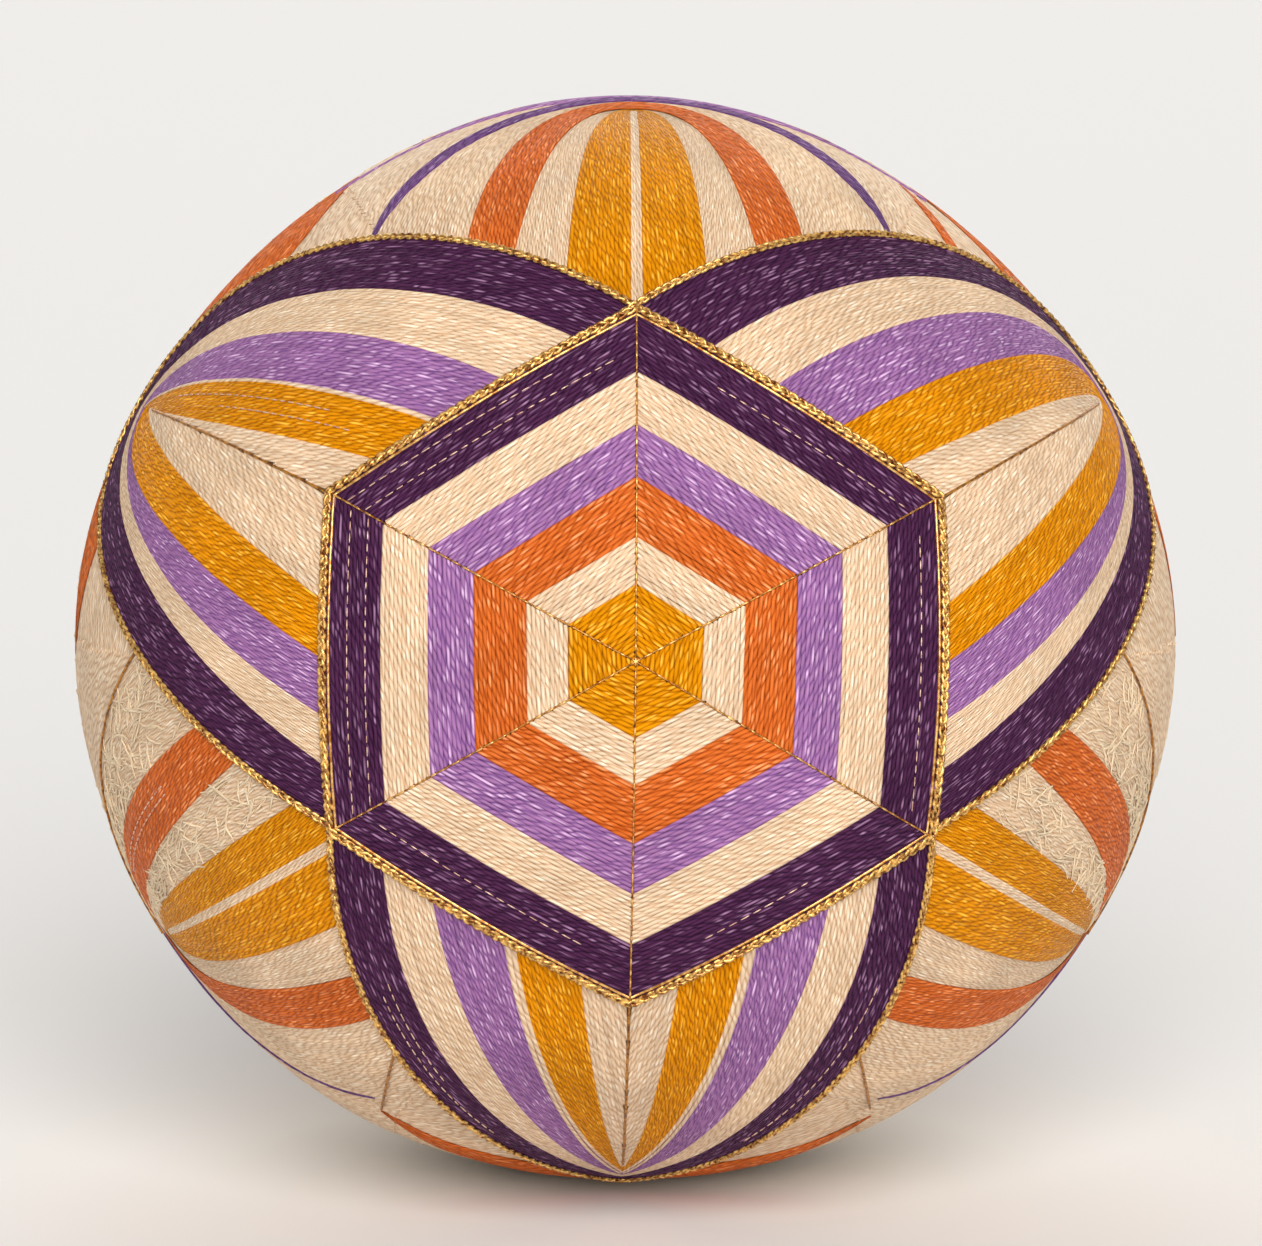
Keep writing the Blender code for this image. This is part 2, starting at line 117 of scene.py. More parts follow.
# Borders of the half petals as oval arcs on the map
PETAL_BORDERS = {
    # border: centre mm, half width mm, fullness, tip mm
    "left_upper": {
        "edge": (24.0, 27.3, 0.50, 67.8),
        "purple": (18.6, 21.6, 0.63, 66.0),
        "cream": (21.1, 15.5, 0.64, 64.8),
        "lilac": (4.5, 10.6, 0.75, 63.7),
        "gold": (4.6, 6.3, 2.00, 61.5),
    },
    "right_upper": {
        "edge": (24.7, 27.6, 0.47, 67.8),
        "purple": (29.0, 21.3, 0.50, 66.0),
        "cream": (32.5, 15.8, 0.43, 64.8),
        "lilac": (32.6, 9.6, 0.38, 63.7),
        "gold": (5.1, 4.5, 0.51, 61.5),
    },
    "lower": {
        "edge": (18.9, 25.1, 0.47, 67.8),
        "purple": (12.1, 20.8, 0.58, 66.0),
        "cream": (20.8, 16.8, 0.60, 64.8),
        "lilac": (12.7, 12.8, 0.45, 63.7),
        "gold": (5.2, 9.1, 0.75, 61.5),
    },
    "bottom": {
        "edge": (19.1, 26.1, 0.80, 63.4),
        "purple": (17.5, 21.2, 0.86, 61.6),
        "cream": (10.2, 17.5, 0.85, 60.6),
        "lilac": (14.6, 10.7, 0.96, 59.6),
        "gold": (4.3, 5.1, 0.93, 57.6),
    },
}
PETAL_BANDS = (
    # name, outer border, inner border
    ("purple", "edge", "purple"),
    ("cream", "purple", "cream"),
    ("lilac", "cream", "lilac"),
    ("gold", "lilac", "gold"),
)
PETALS = (
    # name, azimuth of the axis, its lean at the tip, clockwise half, counterclockwise half
    ("petal_right", 27.4, 0.0, "lower", "right_upper"),
    ("petal_left", 151.5, 1.8, "left_upper", "lower"),
    ("petal_bottom", 269.2, 0.0, "bottom", "bottom"),
)
BACK_PETALS = (
    ("back_petal_top", 90.0, 0.0, "bottom", "bottom"),
    ("back_petal_left", 210.0, 0.0, "bottom", "bottom"),
    ("back_petal_right", 330.0, 0.0, "bottom", "bottom"),
)
LEAN_START = 29.0              # reach at which a petal's axis starts to lean, mm
LEAN_END = 62.0                # and at which it has its whole lean
MOST_LEAN = 1.1                # share of the lean that it gets to beyond that
HEXAGON_GAP = 0.05             # between a petal's rows and the hexagon, mm
BRAID_TUCK = 0.2               # how far a petal's braid goes in under the hexagon, mm
SPINDLE_TUCK = 0.1             # how far a spindle's rows go in under a petal, mm

# Borders of the half spindles
SPINDLE_BORDERS = {
    "top": {
        "line": (0.0, 0.55, 0.10, 60.6),
        "gold": (32.0, 6.2, 0.36, 61.0),
        "cream": (12.0, 12.5, 0.38, 61.4),
        "orange": (36.0, 15.9, 0.48, 64.2),
        "outline": (38.0, 26.5, 0.47, 66.4),
    },
    "top_left": {
        "line": (0.0, 0.55, 0.10, 60.6),
        "gold": (32.0, 6.2, 0.36, 61.0),
        "cream": (12.0, 12.5, 0.38, 61.4),
        "orange": (36.0, 15.9, 0.48, 64.2),
        "outline": (38.0, 26.8, 0.64, 66.4),
    },
    "low_upper": {
        "line": (0.0, 0.55, 0.10, 64.2),
        "gold": (31.5, 4.8, 0.32, 65.0),
        "cream": (15.0, 11.6, 0.40, 66.3),
        "orange": (40.0, 15.7, 0.35, 67.6),
        "outline": (30.0, 27.0, 0.42, 68.5),
    },
    "low_lower": {
        "line": (0.0, 0.55, 0.10, 64.2),
        "gold": (32.0, 6.6, 0.45, 65.0),
        "cream": (12.0, 12.9, 0.42, 66.3),
        "orange": (37.5, 16.3, 0.50, 67.6),
        "outline": (40.0, 27.5, 0.45, 68.5),
    },
}
SPINDLES = (
    # name, azimuth of the axis, clockwise half, counterclockwise half
    ("spindle_top", 89.3, "top", "top_left"),
    ("spindle_left", 211.7, "low_upper", "low_lower"),
    ("spindle_right", 327.8, "low_lower", "low_upper"),
)
BACK_SPINDLES = (
    ("back_spindle_right", 30.0, "top", "top"),
    ("back_spindle_left", 150.0, "top", "top"),
    ("back_spindle_bottom", 270.0, "top", "top"),
)
# Bands near the ball's edge. Each lies between two curved lines, which are given by as many
# spots. Behind a petal's tip, where the photo doesn't show it, an orange band goes round.
EDGE_BANDS = (
    # name, colour, spots of the inner line (reach mm, azimuth), spots of the outer line
    ("edge_left", "orange",
     ((68.0, 119.6), (59.6, 127.8), (55.8, 139.1), (56.0, 151.5), (59.2, 163.2), (63.7, 171.7),
      (68.6, 180.5)),
     ((68.6, 119.6), (71.0, 130.9), (72.6, 141.6), (73.5, 151.5), (73.5, 160.9), (72.3, 170.1),
      (68.8, 180.7))),
    ("edge_right", "orange",
     ((69.0, 58.0), (65.8, 48.8), (62.2, 38.5), (62.5, 27.4), (65.5, 16.8), (69.2, 8.9), (69.8, 1.0)),
     ((69.3, 58.2), (72.7, 46.7), (74.0, 36.7), (74.6, 27.4), (74.4, 18.1), (72.9, 9.8), (70.0, 0.8))),
    ("edge_bottom", "orange",
     ((57.9, 241.8), (59.8, 249.7), (60.0, 259.6), (60.0, 269.2), (60.0, 278.8), (60.6, 288.5),
      (59.2, 297.2)),
     ((58.4, 241.7), (64.5, 250.2), (66.0, 260.1), (67.0, 269.2), (66.6, 278.3), (65.5, 287.9),
      (59.7, 297.4))),
    ("edge_right_inner", "orange",
     ((56.2, 50.8), (60.6, 55.2), (65.5, 59.4)),
     ((58.0, 50.6), (62.2, 55.0), (65.7, 59.4))),
    ("edge_top_line", "lilac",
     ((66.4, 56.0), (67.0, 72.0), (67.3, 89.3), (67.0, 106.0), (66.4, 122.6)),
     ((67.1, 56.0), (67.6, 72.0), (67.9, 89.3), (67.6, 106.0), (67.1, 122.6))),
    ("edge_top", "lilac",
     ((69.4, 66.0), (68.5, 78.0), (68.3, 89.3), (68.5, 101.0), (69.4, 113.0)),
     ((69.7, 66.0), (71.2, 78.0), (72.0, 89.3), (71.2, 101.0), (69.7, 113.0))),
)
FIELD_REACH = 75.5             # how far the laid ground goes from the middle of the motif, mm
HIDDEN = 1.2                   # how far a row goes on under a motif that covers it, mm
SECTOR = 32.6                  # degrees to each side of an axis, so that two fields overlap
LOW_OUTLINE = 29.6             # degrees to each side at which the low outlines end
HALVES = ((-1, "clockwise"), (1, "counter"))
FIELD_BORDER = (45.0, 50.0, 0.5, 77.5)      # of the ground beside a spindle, as in the tables above
FIELD_END = FIELD_REACH + 1.0  # where its last row ends, mm
FIELD_ROWS_START = 40.0        # of the ground outside a petal, along its axis, mm
FIELD_SHOWS = 43.0             # reach from which that ground shows, mm

# The winding thread and the stray pieces of thread, mm
WINDING_OVER = (0.5, 4.2)      # how far winding runs in under the laid ground
WINDING_STEP = 3.6             # length of a straight piece of it
WINDING_HEAP = 0.26            # height between its lowest and highest threads
WINDING_SWAY = 0.02            # of a turn of winding to its sides, as a share of its radius
WINDING_SHAPE = {"Sides": 4, "Flatness": 0.6, "Hand": 1.0, "Wobble": 0.0003, "Wobble Length": 0.004}
BACK_MAP_REACH = 72.0          # how far from the middle of the back its motif is looked for
BACK_DEPTH = 3.0               # the winding hides under the back motif so many times sooner
STRAYS = 520                   # in half a spindle
STRAY_LENGTH = 4.2
STRAY_SHORTEST = 0.35          # as a share of the length
STRAY_WIDTH = 0.23
STRAY_BEND = 0.6
STRAY_SPREAD = 0.7             # how far they turn from the rows below, radians
STRAY_WOBBLE = 0.0003          # m
STRAY_TUCK = 0.2               # how far they go in under a petal
STRAY_TURNS = (5.0, 86.0)      # where they lie up a half, degrees
STRAY_SHARES = (0.06, 0.94)    # and across a band

END_PULL = 0.12                # how far a row of the hexagon ends short or long, mm
TOP_OUTLINE = (2.1, 6)         # width mm and rows
LOW_OUTLINE_ROWS = (0.4, 1)
LOW_GUIDE_ROWS = (0.3, 1)
BACK_OUTLINE = (1.1, 3)

# Narrow cream rows between a petal's lilac and gold
FRINGES = (
    # petal, side, width mm, rows
    (1, -1, 0.45, 1),
    (2, -1, 0.95, 2),
    (2, 1, 0.95, 2),
)
FRINGE_TAPER = 0.75

# Pale metallic rows in the purple of the hexagon
METAL_ROWS = (
    # side counted from the right corner, reach mm, from share, to share
    (1, 26.0, 0.10, 0.98),
    (1, 27.9, 0.30, 0.98),
    (0, 26.6, 0.04, 0.70),
    (2, 25.4, 0.03, 0.97),
    (2, 27.3, 0.03, 0.97),
    (3, 26.3, 0.08, 0.80),
    (4, 26.8, 0.28, 0.62),
    (5, 27.3, 0.06, 0.90),
)

# Pale metallic rows in the bands of the petals and of the left spindle
METAL_BAND_LINES = (
    # petal, side, outer border, inner border, share from outer to inner, from turn, to turn
    (2, -1, "edge", "purple", 0.42, 16.0, 44.0),
    (2, -1, "edge", "purple", 0.62, 14.0, 30.0),
    (2, 1, "edge", "purple", 0.45, 14.0, 46.0),
    (1, -1, "lilac", "gold", 0.35, 20.0, 55.0),
    (1, -1, "lilac", "gold", 0.62, 16.0, 40.0),
)
METAL_SPINDLE_LINES = (
    # share from the orange border to the cream one, from turn, to turn
    (0.40, 34.0, 62.0),
    (0.55, 34.0, 62.0),
)
METAL_THREADS = {
    # name: width mm, material
    "hexagon_edging": (0.26, "bright_gilt_thread"),
    "guide_threads": (0.16, "old_gilt_thread"),
    "petal_axes": (0.24, "old_gilt_thread"),
    "ground_guides": (0.24, "old_gilt_thread"),
    "back_petal_axes": (0.24, "old_gilt_thread"),
}
STITCHES = {
    # name: from one stitch to the next mm, length mm, radius mm, material
    "guide_stitches": (1.1, 0.8, 0.10, "bright_gilt_thread"),
    "metallic_rows": (1.0, 0.9, 0.065, "pale_gilt_thread"),
    "metallic_band_rows": (1.0, 0.9, 0.07, "pale_gilt_thread"),
    "back_guide_stitches": (1.5, 1.3, 0.11, "gilt_braid"),
}
GROUND_GUIDES = (
    # guide threads in the ground below the low spindles, from and to a reach mm and an azimuth
    ((44.0, 239.0), (56.8, 241.6)),
    ((43.0, 299.8), (56.0, 297.6)),
)
METAL_SHAPE = {"Sides": 6, "Flatness": 0.9, "Hand": 1.0, "Wobble": 0.0001, "Wobble Length": 0.003}
EDGING_INSET = 0.62            # of the hexagon's edging inside its braid, mm
SIDE_STEPS = 18                # points of a braid along one side of the hexagon
BAND_STEPS = 20                # points of a metallic row along a band
PETAL_STEPS = 40               # points of a braid along one half of a petal
RAY_STEPS = 14
BRAID_FULL = 0.92              # thickness of a petal's braid beside the hexagon's, which is 1
BRAID_TIP_LESS = 0.27          # by which it gets thinner at the petal's tip
AXIS_SHORT = 1.5               # how far an axis thread stops short of the gold's tip, mm
AXIS_STEPS = 16


def linear(hex_colour):
    """An sRGB hex colour as linear red, green and blue."""
    parts = [int(hex_colour[i:i + 2], 16) / 255 for i in (1, 3, 5)]
    return tuple(c / 12.92 if c <= 0.04045 else ((c + 0.055) / 1.055) ** 2.4 for c in parts)


def ball_radius(direction):
    """The wound ball's radius in mm along a direction, with its slight lumps."""
    around = math.atan2(direction.z, direction.x)
    swell = sum(c * math.cos(n * around) + s * math.sin(n * around) for n, c, s in LUMPS)
    return BALL_RADIUS + (1.0 - direction.y ** 2) * swell


CENTRE_HEIGHT = ball_radius(Vector((0, 0, -1))) - FLAT_DEPTH
CENTRE = Vector((0.0, 0.0, CENTRE_HEIGHT * MM))


def on_ball(direction, lift):
    """The place in metres of a direction from the ball's middle, raised by lift mm."""
    spot = direction * (ball_radius(direction) + lift)
    spot.z = max(spot.z + CENTRE_HEIGHT, FLOOR_CLEARANCE)
    return spot * MM


class Map:
    """The flat map of one side of the ball."""

    def __init__(self, pole, scale):
        self.pole = pole
        self.right = Vector((0, 0, 1)).cross(pole).normalized()
        self.up = pole.cross(self.right)
        self.scale = scale

    def place(self, point, lift):
        """The place in metres of a map point, raised by lift mm off the wound ball."""
        reach = math.hypot(*point) * self.scale / DESIGN_RADIUS
        azimuth = math.atan2(point[1], point[0])
        flat = self.right * math.cos(azimuth) + self.up * math.sin(azimuth)
        return on_ball(self.pole * math.cos(reach) + flat * math.sin(reach), lift)

    def find(self, direction):
        """The map point that lies in a direction from the ball's middle."""
        x, y = direction.dot(self.right), direction.dot(self.up)
        reach = math.acos(max(-1.0, min(1.0, direction.dot(self.pole)))) * DESIGN_RADIUS / self.scale
        flat = max(math.hypot(x, y), 1e-9)
        return (x / flat * reach, y / flat * reach)


def front_pole():
    """The direction in which the front motif looks."""
    up, side = math.radians(POLE_UP), math.radians(POLE_SIDE)
    return Vector((math.sin(side) * math.cos(up), -math.cos(side) * math.cos(up), math.sin(up)))


FRONT = Map(front_pole(), 1.0)
BACK = Map(-front_pole(), BACK_SCALE)


def polar(reach, azimuth):
    """A map point from its distance in mm and its azimuth in degrees."""
    return (reach * math.cos(math.radians(azimuth)), reach * math.sin(math.radians(azimuth)))


def mix(a, b, share):
    """The point that lies a share of the way from a to b."""
    return (a[0] + (b[0] - a[0]) * share, a[1] + (b[1] - a[1]) * share)


def seat_on_axis(local, side, azimuth, lean=0.0):
    """Turn a half's own point onto the map. side is -1 clockwise, 1 counterclockwise."""
    reach = math.hypot(*local)
    share = min(max((reach - LEAN_START) / (LEAN_END - LEAN_START), 0.0), MOST_LEAN)
    offset = math.degrees(math.atan2(local[1], local[0])) * side
    return polar(reach, azimuth + lean * share + offset)


def outside_hexagon(point, corners):
    """How far a map point lies outside the hexagon's braid, mm."""
    ring = [polar(CORNER_REACH, azimuth) for azimuth in corners]
    best = -1e9
    for a, b in zip(ring, ring[1:] + ring[:1]):
        away = ((b[1] - a[1]) * (point[0] - a[0]) - (b[0] - a[0]) * (point[1] - a[1])) / math.dist(a, b)
        best = max(best, away)
    return best


def inside_oval(point, azimuth, halves, lean=0.0):
    """How far inside a two-sided oval a map point lies, mm."""
    reach = math.hypot(*point)
    share = min(max((reach - LEAN_START) / (LEAN_END - LEAN_START), 0.0), MOST_LEAN)
    offset = math.degrees(math.atan2(point[1], point[0])) - azimuth - lean * share
    offset = math.radians((offset + 180.0) % 360.0 - 180.0)
    if abs(offset) > math.pi / 2:
        return -1e9
    along, across = reach * math.cos(offset), reach * math.sin(offset)
    centre, half_width, fullness, tip = halves[1 if across > 0 else 0]
    sine = (along - centre) / (tip - centre)
    if sine > 1.0:
        return -1e9
    return half_width * max(1.0 - sine * sine, 0.0) ** fullness - abs(across)


ROW_START = 20.0               # mm along the axis
FIRST_TURN = -25.0             # where the search for a row's start ends, degrees
SEARCH_STEP = 2.0
HALVINGS = 12                  # of the last step of that search


def find_start(curve, clearance):
    """How far back from its tip a curve stays clear. curve(turn) gives a map point."""
    clear = 90.0
    while clear > FIRST_TURN and clearance(curve(clear - SEARCH_STEP)) > 0:
        clear -= SEARCH_STEP
    blocked = clear - SEARCH_STEP
    for _ in range(HALVINGS):
        middle = (clear + blocked) / 2
        if clearance(curve(middle)) > 0:
            clear = middle
        else:
            blocked = middle
    return clear


def along_axis(border, turn):
    """A border's point in its own half. turn is 0 at ROW_START along the axis and 90 at the tip.

    Borders at the same turn lie side by side, so a row may run at a share between them.
    """
    centre, half_width, fullness, tip = border
    along = ROW_START + (tip - ROW_START) * math.sin(math.radians(turn))
    sine = (along - centre) / (tip - centre)
    return along, half_width * max(1.0 - sine * sine, 0.0) ** fullness


def border_line(row, side, azimuth, lean=0.0):
    """A border of one half as a function of the turn up it."""
    return lambda turn: seat_on_axis(along_axis(row, turn), side, azimuth, lean)


def petal_border(petal, border, side):
    """One of a petal's borders, by its name."""
    _, azimuth, lean, clockwise, counter = petal
    return border_line(PETAL_BORDERS[clockwise if side < 0 else counter][border], side, azimuth, lean)


def spindle_border(spindle, border, side):
    """One of a spindle's borders, by its name."""
    _, azimuth, clockwise, counter = spindle
    return border_line(SPINDLE_BORDERS[clockwise if side < 0 else counter][border], side, azimuth)


def off_hexagon(corners, distance):
    """A clearance that keeps a curve this far outside the hexagon's braid."""
    return lambda point: outside_hexagon(point, corners) - distance


def off_petals(petals, distance):
    """A clearance that keeps a curve this far outside the petals' braids."""
    ovals = []
    for _, azimuth, lean, clockwise, counter in petals:
        halves = (PETAL_BORDERS[clockwise]["edge"], PETAL_BORDERS[counter]["edge"])
        ovals.append((azimuth, halves, lean))
    return lambda point: -max(inside_oval(point, *shape) for shape in ovals) - distance


# Threads. A row is a list of (map point, thread width in mm).

STEP = 1.6                     # length of a straight piece of thread, mm
ROUGH_STEPS = 12               # pieces in which the length of a row is first measured
EDGE_STEPS = 20                # pieces in which an edge band is measured
LEAST_WIDTH = 0.05             # of a thread where an edge band comes to a point, mm
LINE_STEPS = 22                # pieces of a row that lies on a border


def row_between(outer, inner, share, count, clearance, scale):
    """One arm of a row of thread between two borders, from its start to its tip."""
    def curve(turn):
        return mix(outer(turn), inner(turn), share)

    start = find_start(curve, clearance)
    coarse = [curve(start + (90.0 - start) * i / ROUGH_STEPS) for i in range(ROUGH_STEPS + 1)]
    length = sum(math.dist(a, b) for a, b in zip(coarse, coarse[1:])) * scale
    steps = max(4, round(length / STEP))
    row = []
    for i in range(steps + 1):
        turn = start + (90.0 - start) * i / steps
        width = math.dist(outer(turn), inner(turn)) * scale / count
        row.append((curve(turn), width))
    return row


def widest(outer, inner):
    """The widest that a band gets between two borders, mm."""
    return max(math.dist(outer(turn), inner(turn)) for turn in range(0, 91, 5))


def band_rows(outers, inners, clearance, spacing, scale):
    """Rows that run up one half of a petal or spindle, round its tip and down the other."""
    width = max(widest(o, i) for o, i in zip(outers, inners))
    count = max(2, round(width * scale / spacing))
    rows = []
    for k in range(count):
        share = (k + 0.5) / count
        arms = [row_between(o, i, share, count, clearance, scale) for o, i in zip(outers, inners)]
        rows.append(arms[0] + arms[1][-2::-1] if len(arms) == 2 else arms[0])
    return rows


def heart_rows(petal, side, clearance, spacing, scale):
    """Rows of a petal's heart: each keeps its distance from the gold and ends on the axis."""
    border = PETAL_BORDERS[petal[3] if side < 0 else petal[4]]["gold"]
    rows = []
    shift = spacing / scale / 2
    while shift < border[1]:
        row = []
        start = find_start(lambda turn: seat_on_axis(inset(border, turn, shift), side, petal[1], petal[2]),
                           clearance)
        turn = start
        while turn < 90.0 and along_axis(border, turn)[1] > shift * 0.98:
            row.append((seat_on_axis(inset(border, turn, shift), side, petal[1], petal[2]), spacing))
            turn += math.degrees(STEP / scale / (border[3] - ROW_START))
        if len(row) > 2:
            rows.append(row)
        shift += spacing / scale
    return rows


def inset(border, turn, shift):
    """A border's point moved towards the axis, and no further than it."""
    along, across = along_axis(border, turn)
    return along, max(across - shift, 0.0)


def side_rows(corners, side, inner, outer, spacing, scale, rng):
    """Straight rows along one side of the hexagon, between two reaches of its corners."""
    a, b = corners[side], corners[(side + 1) % 6]
    half_angle = math.radians(((b - a) % 360.0) / 2)
    count = max(1, round((outer - inner) * math.cos(half_angle) * scale / spacing))
    rows = []
    for k in range(count):
        reach = inner + (outer - inner) * (k + 0.5) / count
        first, last = polar(reach, a), polar(reach, b)
        length = math.dist(first, last) * scale
        steps = max(2, round(length / STEP))
        ends = [end + rng.uniform(-END_PULL, END_PULL) / length for end in (0.0, 1.0)]
        width = (outer - inner) * math.cos(half_angle) * scale / count
        rows.append([(mix(first, last, ends[0] + (ends[1] - ends[0]) * i / steps), width)
                     for i in range(steps + 1)])
    return rows


def curve_through(spots):
    """A smooth curve through spots, each a reach and an azimuth, as a function of a share."""
    points = [polar(*spot) for spot in spots]
    last = len(points) - 1

    def curve(share):
        place = share * last
        k = min(int(place), last - 1)
        t = place - k
        a, b, c, d = (points[min(max(k + i, 0), last)] for i in (-1, 0, 1, 2))
        return tuple(
            (2 * q + (r - p) * t + (2 * p - 5 * q + 4 * r - s) * t ** 2
             + (3 * q - p - 3 * r + s) * t ** 3) / 2
            for p, q, r, s in zip(a, b, c, d))

    return curve


def edge_rows(inner, outer, spacing):
    """Rows between two lines that are each given by their spots."""
    a, b = curve_through(inner), curve_through(outer)
    shares = [i / EDGE_STEPS for i in range(EDGE_STEPS + 1)]
    widths = [math.dist(a(share), b(share)) for share in shares]
    length = sum(math.dist(b(share), b(ahead)) for share, ahead in zip(shares, shares[1:]))
    count = max(1, round(max(widths) / spacing))
    steps = max(4, round(length / STEP))
    rows = []
    for k in range(count):
        share = (k + 0.5) / count
        row = []
        for i in range(steps + 1):
            start, end = a(i / steps), b(i / steps)
            row.append((mix(start, end, share), max(math.dist(start, end) / count, LEAST_WIDTH)))
        rows.append(row)
    return rows


def rim_rows(azimuth, near, far, spread, spacing):
    """Straight rows across an axis near the ball's edge."""
    count = max(1, round((far - near) / spacing))
    rows = []
    for k in range(count):
        along = near + (far - near) * (k + 0.5) / count
        across = along * math.tan(math.radians(spread))
        steps = max(2, round(2 * across / STEP))
        row = []
        for i in range(steps + 1):
            y = across * (2 * i / steps - 1)
            row.append((polar(math.hypot(along, y), azimuth + math.degrees(math.atan2(y, along))),
                        (far - near) / count))
        rows.append(row)
    return rows


def trimmed(rows, keep):
    """The runs of at least three points of each row for which keep(point) holds."""
    runs = []
    for row in rows:
        run = []
        for spot in row + [None]:
            if spot is not None and keep(spot[0]):
                run.append(spot)
            else:
                if len(run) > 2:
                    runs.append(run)
                run = []
    return runs


def line_rows(curve, width, count, clearance, taper=1.0):
    """Rows side by side on a curve, which draw together towards its start by taper."""
    start = find_start(curve, clearance)
    rows = []
    for k in range(count):
        aside = width * ((k + 0.5) / count - 0.5)
        row = []
        for i in range(LINE_STEPS + 1):
            turn = start + (90.0 - start) * i / LINE_STEPS
            here, ahead = curve(turn - 0.5), curve(turn + 0.5 if turn < 89.0 else turn)
            length = max(math.dist(here, ahead), 1e-9)
            share = taper + (1 - taper) * math.sin(math.pi / 2 * min(3 * i / LINE_STEPS, 1.0))
            push = aside * share / length
            point = curve(turn)
            row.append(((point[0] - (ahead[1] - here[1]) * push, point[1] + (ahead[0] - here[0]) * push),
                        width / count * share))
        rows.append(row)
    return rows


# Node trees

MATH = "ShaderNodeMath"
VECTOR_MATH = "ShaderNodeVectorMath"
NOISE = "ShaderNodeTexNoise"
DRIFT = 0.83                   # between the wobbles of one thread and the next
STRANDS = 3                    # of the flat plait
STRAND_SIDES = 5
BEAD = {"Segments": 5, "Rings": 4, "Radius": 1.0}
STITCH_VARIES = (0.75, 1.1)    # shortest and longest stitch, as a share of its length


def add_node(tree, kind, inputs=None, **settings):
    """Add a node, set its own settings, and set or link its inputs.

    A node that is given as an input stands for its first output.
    """
    node = tree.nodes.new(kind)
    for key, value in settings.items():
        setattr(node, key, value)
    for key, value in (inputs or {}).items():
        if isinstance(value, bpy.types.Node):
            value = value.outputs[0]
        if isinstance(value, bpy.types.NodeSocket):
            tree.links.new(value, node.inputs[key])
        else:
            node.inputs[key].default_value = value
    return node


def new_tree(name, sizes):
    """A Geometry Nodes tree with named inputs for its sizes, its maker of nodes, and its inputs."""
    tree = bpy.data.node_groups.new(name, "GeometryNodeTree")
    tree.interface.new_socket("Geometry", in_out="INPUT", socket_type="NodeSocketGeometry")
    tree.interface.new_socket("Geometry", in_out="OUTPUT", socket_type="NodeSocketGeometry")
    for size, kind in (("Centre", "Vector"), *sizes, ("Material", "Material")):
        tree.interface.new_socket(size, in_out="INPUT", socket_type="NodeSocket" + kind)
    return tree, partial(add_node, tree), add_node(tree, "NodeGroupInput").outputs


def finish_tree(tree, geometry, material):
    """End a tree: smooth shading, real geometry and its material."""
    smooth = add_node(tree, "GeometryNodeSetShadeSmooth", {"Geometry": geometry})
    real = add_node(tree, "GeometryNodeRealizeInstances", {"Geometry": smooth})
    worn = add_node(tree, "GeometryNodeSetMaterial", {"Geometry": real, "Material": material})
    add_node(tree, "NodeGroupOutput", {"Geometry": worn})
    return tree


def outward(tree, centre):
    """The direction away from the ball's middle at each point."""
    place = add_node(tree, "GeometryNodeInputPosition")
    away = add_node(tree, VECTOR_MATH, {0: place, 1: centre}, operation="SUBTRACT")
    return add_node(tree, VECTOR_MATH, {0: away}, operation="NORMALIZE")


def facing_out(tree, curve, centre):
    """A curve whose normals point away from the ball's middle."""
    inputs = {"Curve": curve, "Normal": outward(tree, centre)}
    return add_node(tree, "GeometryNodeSetCurveNormal", inputs, mode="FREE")


def sweep(tree, curve, profile):
    """A closed tube along a curve, as thick as the curve's radius says."""
    thick = add_node(tree, "GeometryNodeInputRadius")
    inputs = {"Curve": curve, "Profile Curve": profile, "Scale": thick, "Fill Caps": True}
    return add_node(tree, "GeometryNodeCurveToMesh", inputs)


